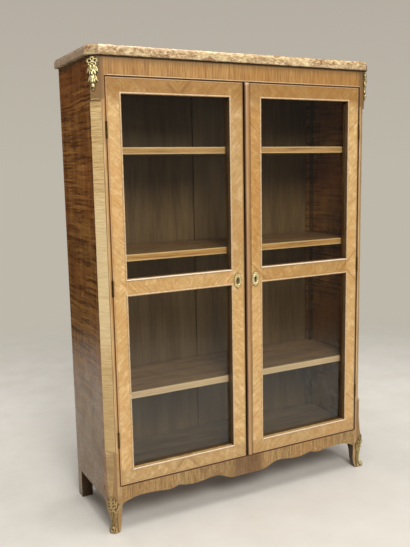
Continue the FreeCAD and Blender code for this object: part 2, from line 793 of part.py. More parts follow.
def escutcheon(x):
    plate = ellipse_disc(x, ESC_W / 2 - 3, ESC_H / 2 - 5, FRONT - 1.4, FRONT)
    rim = ellipse_disc(x, ESC_W / 2, ESC_H / 2 - 2, FRONT - 3.0, FRONT)
    rim = rim.cut(ellipse_disc(x, ESC_W / 2 - 4, ESC_H / 2 - 6, FRONT - 3.5, FRONT + 0.5))
    knobs = []
    for way in (-1, 1):
        z = LOCK_Z + way * (ESC_H / 2 - 3)
        knobs.append(rod(3.0, 3.0, V(x, FRONT, z), V(0, -1, 0)))
    return join([plate, rim] + knobs).cut(keyhole(x, FRONT - 5, FRONT + 1))


def half_cone(r0, r1, z0, z1):
    base = cant_origin(BLOCK_CHAMFER, z0)
    return Part.makeCone(r0, r1, z1 - z0, base, V(0, 0, 1))


def corner_mount():
    z1 = TOP - 5.0
    z0 = z1 - MOUNT_H
    w = MOUNT_W / 2
    rose = Part.makeSphere(0.62 * w, cant_origin(BLOCK_CHAMFER, z1 - 0.62 * w))
    petals = []
    for i in range(6):
        angle = 2 * math.pi * i / 6
        t = 0.62 * w * math.cos(angle)
        z = z1 - 0.62 * w + 0.55 * w * math.sin(angle)
        petals.append(Part.makeSphere(0.3 * w, cant_point(BLOCK_CHAMFER, t, z)))
    parts = [rose] + petals
    parts.append(half_cone(0.85 * w, 0.3 * w, z0 + 0.47 * MOUNT_H, z1 - 0.2 * MOUNT_H))
    parts.append(half_cone(0.62 * w, 0.25 * w, z0 + 0.2 * MOUNT_H, z0 + 0.5 * MOUNT_H))
    parts.append(half_cone(0.12 * w, 0.3 * w, z0 + 5, z0 + 0.22 * MOUNT_H))
    parts.append(Part.makeSphere(5.0, cant_origin(BLOCK_CHAMFER, z0 + 5)))
    mount = join(parts)
    base = cant_origin(BLOCK_CHAMFER, z0 - 20) - CANT_T * 60
    turn = math.degrees(math.atan2(CANT_T.y, CANT_T.x))
    behind = Part.makeBox(120, 60, MOUNT_H + 60)
    behind.rotate(V(0, 0, 0), V(0, 0, 1), turn)
    behind.translate(base)
    return mount.cut(behind)


def sabot():
    wires = [foot_wire(s, SABOT_T, 4.0) for s in FOOT_SECTIONS[1:]]
    shell = Part.makeLoft(wires, True, False)
    toe_c = FOOT_SECTIONS[-1]
    x, y = corner(toe_c[1] + toe_c[3] / 2, toe_c[2] + toe_c[3] / 2)
    toe = rod(7.0, 20.0, V(x, y, 7.0) - CANT_T * 10 + CANT_N * 1.0, CANT_T)
    shell = join([shell, toe])
    half = []
    for t, h in ((30, 0), (29, 0.45), (22, 0.62), (24, 0.72), (13, 0.84), (12, 0.9), (0, 1.0)):
        half.append((t, h * SABOT_H))
    outline = half + [(-t, h) for t, h in reversed(half[:-1])]
    far = [cant_point(BLOCK_CHAMFER, t, z) - CANT_N * 40 for t, z in outline]
    leaf = Part.Face(Part.makePolygon(far + far[:1])).extrude(CANT_N * 90)
    return shell.common(leaf).cut(leg_solid())


def both(name, shape):
    save("left_" + name, shape)
    save("right_" + name, mirrored(shape))


os.makedirs("parts", exist_ok=True)

# Carcase
save("marble_top", marble_top())
save("top_board", board(STOP_FACE, BACK_FACE, TOP - BOARD_T, TOP, SIDE_IN))
bottom_z = BOTTOM_BOARD_TOP - BOARD_T
save("bottom_board", board(STOP_FACE, BACK_FACE, bottom_z, BOTTOM_BOARD_TOP, SIDE_IN, FOOT_IN))
both("front_post", front_post())
both("rear_post", rear_post())
both("side_panel", side_panel())
save("frieze_rail", frieze_rail())
save("frieze_bead", frieze_bead())
save("apron_rail", apron_rail())
stop_z = TOP - BOARD_T
save("door_stop_rail", box(-JAMB, JAMB, STOP_FACE, STOP_FACE + STOP_T, stop_z - STOP_H, stop_z))
save("back_top_rail", back_rail(BACK_TOP_Z0, TOP, False))
save("back_bottom_rail", back_rail(SIDE_Z0, BACK_BOTTOM_Z1, True))
save("back_muntin", back_muntin())
both("back_panel", back_panel())
shelf_side = SIDE_IN - SHELF_SIDE_GAP
for name, top in zip(("lower", "middle", "upper"), SHELF_TOPS):
    front = FRONT + SHELF_SETBACK
    shelf = board(front, BACK_FACE - 1, top - SHELF_T, top, shelf_side, JAMB, SHELF_SIDE_GAP)
    save(name + "_shelf", shelf)
pins = [shelf_pin(*place) for place in pin_places()]
save("shelf_pins", group(pins + [mirrored(p) for p in pins]))
both("corner_mount", corner_mount())
both("sabot", sabot())

# Hinges
post_leaves = [hinge_leaf(z, True) for z in HINGE_Z]
hinge_pins = [hinge_pin(z) for z in HINGE_Z]
post_screws = leaf_screws(True)
save("hinge_post_leaves", group(post_leaves + [mirrored(s) for s in post_leaves]))
save("hinge_pins", group(hinge_pins + [mirrored(s) for s in hinge_pins]))
save("hinge_post_screws", group(post_screws + [mirrored(s) for s in post_screws]))
both("hinge_door_leaves", group([hinge_leaf(z, False) for z in HINGE_Z]))
both("hinge_door_screws", group(leaf_screws(False)))

# Left door
save("left_door_hinge_stile", hinge_stile(LEFT_SIGHT))
save("left_door_meeting_stile", left_meeting_stile())
save("strike_plate", strike_plate())
save("flush_bolt_plates", group([flush_plate(False), flush_plate(True)]))
save("top_flush_bolt", flush_bolt(True))
save("bottom_flush_bolt", flush_bolt(False))
save("left_escutcheon", escutcheon(FALSE_KEY_X))

# Right door
mirror_sight = (-RIGHT_SIGHT[1], -RIGHT_SIGHT[0])
save("right_door_hinge_stile", mirrored(hinge_stile(mirror_sight)))
save("right_door_meeting_stile", right_meeting_stile())
save("closing_strip", closing_strip())
save("lock_case", lock_case())
save("lock_bolt", lock_bolt())
save("right_escutcheon", escutcheon(KEY_X))

# Rails, glass and beads of both doors
for side, sight in (("left", LEFT_SIGHT), ("right", RIGHT_SIGHT)):
    for rail in ("top", "middle", "bottom"):
        save(side + "_door_" + rail + "_rail", door_rail(rail, sight))
    lower_pane, upper_pane = panes(sight)
    save(side + "_door_lower_glass", lower_pane)
    save(side + "_door_upper_glass", upper_pane)
    save(side + "_door_front_beads", group(front_beads(sight)))
    save(side + "_door_glazing_strips", group(glazing_strips(sight)))
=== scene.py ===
import math
from functools import partial

import bmesh
import bpy
import numpy as np
from mathutils import Matrix, Vector
from mathutils.bvhtree import BVHTree


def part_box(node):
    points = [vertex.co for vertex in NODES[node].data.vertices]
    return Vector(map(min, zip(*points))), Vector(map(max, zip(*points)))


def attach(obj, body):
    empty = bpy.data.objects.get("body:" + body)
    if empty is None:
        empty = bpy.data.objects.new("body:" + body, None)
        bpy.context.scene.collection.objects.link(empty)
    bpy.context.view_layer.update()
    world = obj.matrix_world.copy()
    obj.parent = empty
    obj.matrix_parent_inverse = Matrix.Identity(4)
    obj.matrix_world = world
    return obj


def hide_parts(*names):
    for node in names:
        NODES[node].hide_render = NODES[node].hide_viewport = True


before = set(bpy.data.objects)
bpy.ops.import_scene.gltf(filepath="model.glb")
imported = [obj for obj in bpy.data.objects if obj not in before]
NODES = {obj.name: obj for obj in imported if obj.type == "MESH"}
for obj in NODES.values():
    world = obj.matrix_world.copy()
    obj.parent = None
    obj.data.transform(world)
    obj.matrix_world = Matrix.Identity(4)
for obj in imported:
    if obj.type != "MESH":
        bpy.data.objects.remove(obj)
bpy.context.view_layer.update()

# The dressed bookcase: finishes for the solids of the frame, and cast mounts modelled as reliefs
MM = 0.001
SIDES = {"left": -1, "right": 1}

# Camera, as placed by the photograph
CAMERA_AT = (-1.2159, -2.1704, 1.1827)
CAMERA_LENS = 45.25
CAMERA_SENSOR = 36.0
CAMERA_AZIMUTH = math.radians(-27.729)
CAMERA_ELEVATION = math.radians(8.751)
CAMERA_ROLL = math.radians(-1.088)

# Studio: the floor has a painted shade before the case, is painted dimmer further in front and
# fades out at a distance
FLOOR_RADIUS = 14.0
FLOOR_SHADE_AT = (0.4, -0.6)
FLOOR_SHADE_REACH = 1.5
FLOOR_DIM = (-0.8, -2.0)
FLOOR_FADE = (1.55, 3.3)
AMBIENT = 0.22
AMBIENT_COLOUR = (1.0, 0.97, 0.93, 1.0)
ROOM_FRONT = 0.3
ROOM_BACK = 0.05
ROOM_TURN = (-0.35, 0.45)
BACKDROP_TOP = 0.25

# Lamps: name, place, target, size, power, and whether polished faces mirror it
LAMPS = (
    ("key", (-0.8, -3.6, 3.2), (0.0, -0.1, 0.6), 2.0, 142.0, True),
    ("fill", (2.0, -3.6, 1.6), (0.1, 0.0, 0.6), 2.2, 24.0, False),
    ("top", (0.2, -0.4, 4.2), (0.0, -0.3, 0.0), 2.6, 98.0, True),
    ("rear", (-1.6, 3.4, 2.8), (0.0, 0.0, 0.9), 2.4, 30.0, False),
)

# Places on the case
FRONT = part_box("frieze_rail")[0].y
CORNER_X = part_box("left_front_post")[0].x
BLOCK_CHAMFER = 18 * MM
UNDER_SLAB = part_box("marble_top")[0].z
DOOR_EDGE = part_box("right_door_hinge_stile")[1].x
SUNK_EDGE = 500 * MM

# Heights between which a finish changes
HEAD_SHADE = (1.35, 1.425)
BELOW_HEAD = (1.42, 1.36)
SIDE_WARM = (0.9, 1.2)
SIDE_FADE = (0.8, 0.25)
SIDE_DULL = (0.75, 0.3)
CANT_FADE = (0.7, 0.4)
WAIST_RISE = (0.5, 0.72)
WAIST_FALL = (1.2, 1.0)
TOP_BLOCK = (1.388, 1.396)
FOOT_BLOCK = (0.276, 0.268)
JAMB_FOOT = (0.15, 0.16)

# Shading of edges: rays per look, and cosines between which a turned normal is an edge
RAY_SAMPLES = 6
EDGE_COSINES = (0.995, 0.86)


def srgb(red, green, blue):
    """Linear colour, with alpha, of an 8-bit display colour."""
    def linear(value):
        value = value / 255
        return value / 12.92 if value <= 0.04045 else ((value + 0.055) / 1.055) ** 2.4
    return (linear(red), linear(green), linear(blue), 1.0)


class Nodes:
    """A node tree under construction: the methods add nodes and give back their outputs."""

    def __init__(self, owner):
        owner.use_nodes = True
        self.owner = owner
        self.tree = owner.node_tree
        self.tree.nodes.clear()
        self.coords = None
        self.where = None

    def feed(self, socket, value):
        if isinstance(value, bpy.types.NodeSocket):
            self.tree.links.new(value, socket)
        else:
            socket.default_value = value

    def add(self, kind, sockets, **settings):
        node = self.tree.nodes.new(kind)
        for key, value in settings.items():
            setattr(node, key, value)
        for key, value in sockets.items():
            self.feed(node.inputs[key], value)
        return node

    def math(self, operation, first, second=0.0, third=0.0):
        sockets = {0: first, 1: second, 2: third}
        return self.add("ShaderNodeMath", sockets, operation=operation).outputs[0]

    def times(self, first, second):
        return self.math("MULTIPLY", first, second)

    def plus(self, first, second):
        return self.math("ADD", first, second)

    def minus(self, first, second):
        return self.math("SUBTRACT", first, second)

    def over(self, first, second):
        return self.math("DIVIDE", first, second)

    def absolute(self, value):
        return self.math("ABSOLUTE", value)

    def hypot(self, first, second):
        squares = self.plus(self.times(first, first), self.times(second, second))
        return self.math("SQRT", squares)

    def least(self, *values):
        result = values[0]
        for value in values[1:]:
            result = self.math("MINIMUM", result, value)
        return result

    def position(self):
        """Position in the part's frame, in metres; it moves with the body."""
        if self.coords is None:
            self.coords = self.add("ShaderNodeTexCoord", {}).outputs["Object"]
        return self.coords

    def place(self):
        """The same position as x, y and z."""
        if self.where is None:
            self.where = self.add("ShaderNodeSeparateXYZ", {0: self.position()}).outputs
        return self.where

    def facing(self):
        """Direction of the surface in the part's frame, as x, y and z."""
        coords = self.add("ShaderNodeTexCoord", {}).outputs["Normal"]
        return self.add("ShaderNodeSeparateXYZ", {0: coords}).outputs

    def vector(self, x, y, z):
        return self.add("ShaderNodeCombineXYZ", {0: x, 1: y, 2: z}).outputs[0]

    def noise(self, vector, scale=1.0, detail=2.0, roughness=0.5, distortion=0.0):
        sockets = {"Vector": vector, "Scale": scale, "Detail": detail}
        sockets.update({"Roughness": roughness, "Distortion": distortion})
        return self.add("ShaderNodeTexNoise", sockets).outputs[0]

    def remap(self, value, low, high, to_low=0.0, to_high=1.0):
        sockets = {0: value, 1: low, 2: high, 3: to_low, 4: to_high}
        node = self.add("ShaderNodeMapRange", sockets, interpolation_type="SMOOTHSTEP")
        return node.outputs[0]

    def ramp(self, factor, *stops):
        node = self.add("ShaderNodeValToRGB", {0: factor})
        elements = node.color_ramp.elements
        while len(elements) < len(stops):
            elements.new(0.5)
        for element, (position, colour) in zip(elements, stops):
            element.position = position
            element.color = colour
        return node.outputs[0]

    def tones(self, factor, dark, middle, pale):
        return self.ramp(factor, (0.0, dark), (0.5, middle), (1.0, pale))

    def mix(self, factor, first, second, blend="MIX"):
        sockets = {0: factor, 6: first, 7: second}
        node = self.add("ShaderNodeMix", sockets, data_type="RGBA", blend_type=blend)
        return node.outputs[2]

    def stain(self, colour, tint, value, low, high, most=1.0):
        """The colour, turned towards a tint as a value goes from low to high."""
        return self.mix(self.remap(value, low, high, 0.0, most), colour, tint)

    def bump(self, height, strength, distance, normal=None):
        sockets = {"Height": height, "Strength": strength, "Distance": distance}
        if normal is not None:
            sockets["Normal"] = normal
        return self.add("ShaderNodeBump", sockets).outputs[0]

    def crevice(self, distance, low=0.35, high=0.95):
        """0 deep in a corner, 1 in the open."""
        node = self.add("ShaderNodeAmbientOcclusion", {"Distance": distance}, samples=RAY_SAMPLES)
        return self.remap(node.outputs["AO"], low, high)

    def edge(self, radius):
        """1 on an outer or inner edge, 0 on open faces, and the rounded normal."""
        bevel = self.add("ShaderNodeBevel", {"Radius": radius}, samples=RAY_SAMPLES)
        rounded = bevel.outputs[0]
        plain = self.add("ShaderNodeNewGeometry", {}).outputs["Normal"]
        sockets = {0: rounded, 1: plain}
        dot = self.add("ShaderNodeVectorMath", sockets, operation="DOT_PRODUCT")
        return self.remap(dot.outputs["Value"], *EDGE_COSINES), rounded

    def principled(self, **sockets):
        named = {key.replace("_", " ").title(): value for key, value in sockets.items()}
        return self.add("ShaderNodeBsdfPrincipled", named).outputs[0]

    def show(self, surface, output="ShaderNodeOutputMaterial"):
        """Ends the tree with a surface, and gives back what the tree belongs to."""
        self.add(output, {"Surface": surface})
        return self.owner


def new_finish(name):
    return Nodes(bpy.data.materials.new(name))


def new_object(name, data):
    item = bpy.data.objects.new(name, data)
    bpy.context.scene.collection.objects.link(item)
    return item


# Dirt and painted shade in corners and gaps, and wood without veneer
CORNER_DIRT_AND_SHADE = srgb(58, 34, 16)
CORNER_REACH = 9 * MM
# Painted light and shade in the gaps round the doors: dark in the closing gap and at the rails;
# along the hinges, lit brown on the left and dark on the right
GAP_SHADE = srgb(58, 28, 8)
HINGE_GAP_SHADE = {"left": srgb(158, 108, 56), "right": srgb(74, 38, 8)}
RAIL_GAP_SHADE = srgb(104, 60, 22)
PLATE_DIRT = srgb(84, 54, 24)
BACK_WOOD = srgb(124, 92, 56)

# Scale, stretch, detail and roughness of the broad, middle and fine lines of a wood figure
LINE_KINDS = ((26.0, 8.0, 3.0, 0.5), (105.0, 13.0, 3.0, 0.6), (460.0, 24.0, 2.0, 0.6))
LINE_RANGE = (0.34, 0.66)
# How much finer the waves of a grain are across it than along it
WAVE_FINENESS = 1.6


def stretched(sh, grain, scale, stretch, detail=2.0, roughness=0.5):
    """Noise drawn out along the grain, whose features are about 1 / scale metres across it."""
    along, across, depth = grain
    vector = sh.vector(
        sh.times(along, scale / stretch), sh.times(across, scale), sh.times(depth, scale)
    )
    return sh.noise(vector, detail=detail, roughness=roughness)


def wavy(sh, grain, reach, scale):
    """The same grain with its lines wandering sideways by about reach."""
    along, across, depth = grain
    cross_scale = scale * WAVE_FINENESS
    vector = sh.vector(sh.times(along, scale), sh.times(across, cross_scale), depth)
    drift = sh.minus(sh.noise(vector, detail=2.0), 0.5)
    return along, sh.plus(across, sh.times(drift, reach)), depth


def figure(sh, grain, *weights):
    """Wood figure from 0, dark lines, to 1, pale ones, and its fine lines alone.

    The weights are those of its broad, middle and fine lines.
    """
    result = 0.0
    for (scale, stretch, detail, roughness), weight in zip(LINE_KINDS, weights):
        lines = stretched(sh, grain, scale, stretch, detail, roughness)
        result = sh.math("MULTIPLY_ADD", lines, weight / sum(weights), result)
    return sh.remap(result, *LINE_RANGE), lines


def polished(sh, colour, narrow, rough=0.34, coat=0.25, grain_bump=0.12, normal=None):
    """Old shellac polish over wood, hazy in places, with the fine lines of the grain in relief."""
    haze = sh.noise(sh.position(), scale=14.0, detail=4.0)
    surface = sh.principled(
        base_color=colour,
        roughness=sh.remap(haze, 0.3, 0.75, rough - 0.06, rough + 0.14),
        coat_weight=coat,
        coat_roughness=0.18,
        normal=sh.bump(narrow, grain_bump, 0.25 * MM, normal),
    )
    return sh.show(surface)


def aged_and_shaded(sh, colour, wear_colour, wear=0.55, grime=0.55, radius=1.4 * MM):
    """A colour worn pale on edges and dark in corners with dirt and painted shade, as strong as
    grime sets, and the rounded normal.
    """
    rim, rounded = sh.edge(radius)
    patchy = sh.remap(sh.noise(sh.position(), scale=38.0, detail=3.0), 0.35, 0.7, 0.35, 1.0)
    colour = sh.mix(sh.times(sh.times(rim, patchy), wear), colour, wear_colour)
    # Dirt and painted shade: darker where a corner is deep
    dirt_and_shade = sh.minus(1.0, sh.crevice(CORNER_REACH))
    return sh.mix(sh.times(dirt_and_shade, grime), colour, CORNER_DIRT_AND_SHADE), rounded


def shadow_under_slab(sh, colour):
    """The painted shadow, with some dirt, just below the marble: a brownish band and a dark line at
    the very top.
    """
    z = sh.place()[2]
    colour = sh.stain(
        colour, srgb(104, 80, 48), z, UNDER_SLAB - 26 * MM, UNDER_SLAB - 6 * MM, 0.5
    )
    return sh.stain(colour, srgb(44, 22, 6), z, UNDER_SLAB - 8 * MM, UNDER_SLAB - 1 * MM, 0.9)


# Door veneer
DOOR_SEED = {"left": 0.0, "right": 3.1}
DOOR_DARK = srgb(188, 142, 84)
DOOR_MID = srgb(203, 168, 111)
DOOR_PALE = srgb(223, 186, 130)
DOOR_STREAK = srgb(138, 90, 44)
TOP_TONE = (0.58, 0.48, 0.31, 1.0)
BOTTOM_TONE = (0.79, 0.79, 0.77, 1.0)
MEETING_TONE = {"left": (0.8, 0.79, 0.78, 1.0), "right": (0.8, 0.67, 0.48, 1.0)}
RAIL_TONE = {"left": (0.95, 0.93, 0.9, 1.0), "right": (0.74, 0.68, 0.55, 1.0)}
STRING_PALE = srgb(226, 196, 150)
STRING_DARK = srgb(112, 70, 36)
STRING_WIDTH = 4.2 * MM
LOOP_FLATNESS = 0.6


class Door:
    """Places on one door: its outline, its middle lines and the box of its escutcheon."""

    def __init__(self, side):
        self.side = side
        boxes = [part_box(f"{side}_door_{name}") for name in ("hinge_stile", "meeting_stile")]
        self.low_x = min(box[0].x for box in boxes)
        self.high_x = max(box[1].x for box in boxes)
        self.low_z = min(box[0].z for box in boxes)
        self.high_z = max(box[1].z for box in boxes)
        rail_low, rail_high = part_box(f"{side}_door_middle_rail")
        self.mid_x = (self.low_x + self.high_x) / 2
        self.mid_z = (rail_low.z + rail_high.z) / 2
        self.hinge_x = {"left": self.low_x, "right": self.high_x}[side]
        self.meeting_x = {"left": self.high_x, "right": self.low_x}[side]
        self.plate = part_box(f"{side}_escutcheon")


def door_grain(sh, door, part):
    """Grain at 45 degrees, matched about the middle lines; on the middle rail it makes a loop."""
    x, y, z = sh.place()
    aside = sh.absolute(sh.minus(x, door.mid_x))
    level = sh.minus(z, door.mid_z)
    if part != "middle_rail":
        level = sh.absolute(level)
    half = math.sqrt(0.5)
    along = sh.times(sh.plus(aside, level), half)
    across = sh.times(sh.minus(aside, level), half)
    if part == "middle_rail":
        reach = sh.hypot(sh.times(aside, LOOP_FLATNESS), level)
        loop = sh.remap(reach, 70 * MM, 12 * MM)
        across = sh.plus(across, sh.times(loop, sh.minus(reach, across)))
    depth = sh.plus(sh.times(y, 0.2), DOOR_SEED[door.side])
    return wavy(sh, (along, across, depth), 7 * MM, 5.0)


def door_figure(sh, door, grain):
    """The colour of the veneer, and the fine lines of its grain."""
    x, _, z = sh.place()
    leaf = sh.vector(x, DOOR_SEED[door.side], z)
    lines, narrow = figure(sh, grain, 0.1, 0.24, 0.56)
    colour = sh.tones(lines, DOOR_DARK, DOOR_MID, DOOR_PALE)
    flecks = stretched(sh, grain, 130.0, 4.0, detail=4.0, roughness=0.75)
    colour = sh.stain(colour, srgb(170, 122, 66), flecks, 0.52, 0.68, 0.5)
    colour = sh.stain(colour, srgb(236, 202, 148), flecks, 0.46, 0.32, 0.45)
    mottle = sh.noise(sh.position(), scale=60.0, detail=5.0, roughness=0.7)
    colour = sh.stain(colour, srgb(182, 132, 72), mottle, 0.48, 0.7, 0.6)
    patch = sh.noise(leaf, scale=30.0, detail=6.0, roughness=0.72)
    colour = sh.stain(colour, srgb(192, 143, 76), patch, 0.5, 0.62, 0.6)
    colour = sh.stain(colour, srgb(238, 206, 152), patch, 0.47, 0.36, 0.6)
    streak = stretched(sh, grain, 88.0, 26.0, detail=1.0)
    colour = sh.stain(colour, DOOR_STREAK, streak, 0.66, 0.78, 0.6)
    drift = sh.noise(leaf, scale=3.6, detail=3.0)
    colour = sh.stain(colour, srgb(206, 151, 88), drift, 0.4, 0.72, 0.42)
    seam = sh.absolute(sh.minus(x, door.mid_x))
    return sh.stain(colour, DOOR_MID, seam, 34 * MM, 6 * MM, 0.4), narrow


def door_shades(sh, door, part, colour):
    """The colour, deeper at the head, at the foot and along the meeting edges, with a painted
    shadow band on the left door beside its meeting edge.
    """
    x, _, z = sh.place()
    colour = sh.mix(sh.remap(z, *HEAD_SHADE), colour, TOP_TONE, "MULTIPLY")
    foot = sh.remap(z, door.low_z + 62 * MM, door.low_z + 44 * MM)
    colour = sh.mix(foot, colour, BOTTOM_TONE, "MULTIPLY")
    if part == "middle_rail":
        colour = sh.mix(1.0, colour, RAIL_TONE[door.side], "MULTIPLY")
    else:
        inner = sh.remap(sh.absolute(sh.minus(x, door.meeting_x)), 75 * MM, 55 * MM)
        upper = sh.remap(z, door.mid_z - 60 * MM, door.mid_z + 120 * MM)
        meeting = sh.times(sh.times(inner, upper), sh.remap(z, *BELOW_HEAD))
        colour = sh.mix(meeting, colour, MEETING_TONE[door.side], "MULTIPLY")
    # Painted shadow: a dark band just inside the left door's meeting edge
    if door.side == "left":
        edge_shadow = (door.meeting_x - 11 * MM, door.meeting_x - 3 * MM)
        colour = sh.stain(colour, srgb(124, 98, 56), x, *edge_shadow, 0.7)
    return colour


def door_string(sh, door, colour):
    """The colour, with a pale string round the frame and a dark line inside it."""
    x, _, z = sh.place()
    inset = sh.least(
        sh.minus(x, door.low_x), sh.minus(door.high_x, x),
        sh.minus(z, door.low_z), sh.minus(door.high_z, z),
    )
    string = sh.remap(inset, STRING_WIDTH, STRING_WIDTH - 0.6 * MM)
    line = sh.remap(inset, STRING_WIDTH + 1.7 * MM, STRING_WIDTH + 1.1 * MM)
    line = sh.times(line, sh.minus(1.0, string))
    colour = sh.mix(sh.times(line, 0.6), colour, STRING_DARK)
    return sh.mix(sh.times(string, 0.5), colour, STRING_PALE)


def door_dirt_and_shade(sh, door, colour):
    """The colour, with dirt at the escutcheon, painted shade along the gaps, dark painted shade on
    the edges with their grain showing, and plain wood on the back.
    """
    x, y, z = sh.place()
    plate_low, plate_high = door.plate
    centre = (plate_low + plate_high) / 2
    half = (plate_high - plate_low) / 2
    off_x = sh.over(sh.minus(x, centre.x), half.x)
    off_z = sh.over(sh.minus(z, centre.z), half.z)
    colour = sh.stain(colour, PLATE_DIRT, sh.hypot(off_x, off_z), 1.24, 0.98, 0.7)
    # Painted shade along the gaps at the rails, the hinge edge and the meeting edge
    rail_in = sh.least(sh.minus(z, door.low_z), sh.minus(door.high_z, z))
    colour = sh.stain(colour, RAIL_GAP_SHADE, rail_in, 2.6 * MM, 1.4 * MM, 0.9)
    hinge_in = sh.absolute(sh.minus(x, door.hinge_x))
    colour = sh.stain(colour, HINGE_GAP_SHADE[door.side], hinge_in, 3.4 * MM, 2.0 * MM, 0.9)
    closing_in = sh.absolute(sh.minus(x, door.meeting_x))
    colour = sh.stain(colour, GAP_SHADE, closing_in, 3.0 * MM, 1.2 * MM, 0.9)
    # Painted shade on the edges and on faces turned down, with the fibre of the wood showing
    across_x, across_y, across_z = sh.facing()
    turned = sh.math("MAXIMUM", sh.absolute(across_x), sh.times(across_z, -1.0))
    reveal_shade = sh.times(sh.remap(turned, 0.7, 0.9, 0.0, 0.85), sh.remap(hinge_in, 1 * MM, 3 * MM))
    fibre = sh.remap(stretched(sh, (z, y, x), 320.0, 40.0, detail=3.0), *LINE_RANGE)
    shaded_edge_wood = sh.ramp(fibre, (0.0, srgb(36, 20, 8)), (1.0, srgb(84, 56, 28)))
    colour = sh.mix(reveal_shade, colour, shaded_edge_wood)
    return sh.stain(colour, BACK_WOOD, across_y, 0.5, 0.9, 0.85)


def door_veneer(door, part):
    """Straight-grained veneer in four matched leaves, inside a string."""
    sh = new_finish(f"{door.side}_{part}_veneer")
    colour, narrow = door_figure(sh, door, door_grain(sh, door, part))
    colour = door_shades(sh, door, part, colour)
    colour = door_string(sh, door, colour)
    colour, rounded = aged_and_shaded(sh, colour, srgb(236, 210, 170))
    colour = door_dirt_and_shade(sh, door, colour)
    return polished(sh, colour, narrow, normal=rounded)


def crossband(rail, tones, leaf, worn, dented):
    """Short-grained band with upright grain, in leaves; worn and dented are shares of damage."""
    sh = new_finish(f"{rail}_veneer")
    x, y, z = sh.place()
    lines, narrow = figure(sh, wavy(sh, (z, x, y), 3 * MM, 9.0), 0.12, 0.12, 0.7)
    colour = sh.tones(lines, *tones)
    index = sh.math("FLOOR", sh.over(x, leaf))
    tint = sh.add("ShaderNodeTexWhiteNoise", {"W": index}, noise_dimensions="1D").outputs[0]
    colour = sh.mix(sh.times(tint, 0.3), colour, srgb(172, 116, 58))
    within = sh.math("PINGPONG", sh.plus(x, 0.5 * leaf), 0.5 * leaf)
    joint = sh.minus(0.5 * leaf, within)
    colour = sh.stain(colour, srgb(96, 58, 28), joint, 1.6 * MM, 0.4 * MM, 0.45)
    patch = sh.noise(sh.position(), scale=11.0, detail=5.0, roughness=0.65)
    colour = sh.stain(colour, srgb(112, 80, 46), patch, 0.52, 0.7, worn)
    dents = sh.noise(sh.position(), scale=120.0, detail=4.0, roughness=0.7)
    colour = sh.stain(colour, srgb(78, 50, 26), dents, 0.58, 0.7, dented)
    colour = sh.stain(colour, srgb(214, 184, 136), dents, 0.42, 0.3, dented)
    off_middle = sh.plus(sh.absolute(x), sh.times(dents, 50 * MM))
    colour = sh.stain(colour, srgb(84, 50, 28), off_middle, 104 * MM, 66 * MM, dented)
    colour, rounded = aged_and_shaded(sh, colour, srgb(226, 198, 154), wear=0.75)
    # On the apron, painted shade in the gap along its top
    if dented:
        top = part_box(rail)[1].z
        colour = sh.stain(colour, RAIL_GAP_SHADE, z, top - 2.4 * MM, top - 1.2 * MM, 0.9)
    # Painted shadow and dirt below the marble
    colour = shadow_under_slab(sh, colour)
    return polished(sh, colour, narrow, rough=0.42, coat=0.15, normal=rounded)


# Side veneer
# Painted sheen: how much warmer and brighter the upper part of the sides is made
SIDE_PAINTED_SHEEN = (1.22, 1.15, 1.18, 1.0)
SIDE_TAN = srgb(106, 78, 12)


def side_tone(sh):
    """Colour and fine lines of the dark figured veneer of the sides, with upright grain."""
    x, y, z = sh.place()
    lines, narrow = figure(sh, wavy(sh, (z, y, x), 22 * MM, 2.6), 0.35, 0.4, 0.3)
    colour = sh.tones(lines, srgb(106, 62, 22), srgb(155, 102, 45), srgb(182, 131, 67))
    drifting = sh.plus(z, sh.times(sh.noise(sh.position(), scale=9.0), 14 * MM))
    bands = sh.vector(x, sh.times(y, 6.0), sh.times(drifting, 165.0))
    curl = sh.noise(bands, detail=3.0, roughness=0.6)
    colour = sh.stain(colour, srgb(84, 44, 14), curl, 0.5, 0.64, 0.85)
    colour = sh.stain(colour, srgb(200, 142, 72), curl, 0.48, 0.36, 0.7)
    cloud = sh.noise(sh.position(), scale=4.5, detail=4.0)
    return sh.stain(colour, srgb(140, 72, 26), cloud, 0.42, 0.68, 0.6), narrow


def side_veneer():
    """The sides, made warmer and brighter above as a painted sheen and turning to a dull tan below,
    with painted shade on faces that look forward and plain wood on their back edges.
    """
    sh = new_finish("side_veneer")
    z = sh.place()[2]
    colour, narrow = side_tone(sh)
    # Painted sheen on the upper part of the sides
    colour = sh.mix(sh.remap(z, *SIDE_WARM), colour, SIDE_PAINTED_SHEEN, "MULTIPLY")
    colour = sh.stain(colour, SIDE_TAN, z, *SIDE_FADE, 0.72)
    colour, rounded = aged_and_shaded(sh, colour, srgb(150, 106, 62), wear=0.4)
    backward = sh.facing()[1]
    # Painted shade: faces that look forward, such as the front of the rear feet, are darkened
    colour = sh.stain(colour, srgb(44, 30, 18), backward, -0.5, -0.9, 0.85)
    colour = sh.stain(colour, BACK_WOOD, backward, 0.5, 0.9, 0.85)
    # Painted shadow and dirt below the marble
    colour = shadow_under_slab(sh, colour)
    coat = sh.remap(z, *SIDE_DULL, 0.35, 0.05)
    return polished(sh, colour, narrow, rough=0.24, coat=coat, grain_bump=0.06, normal=rounded)


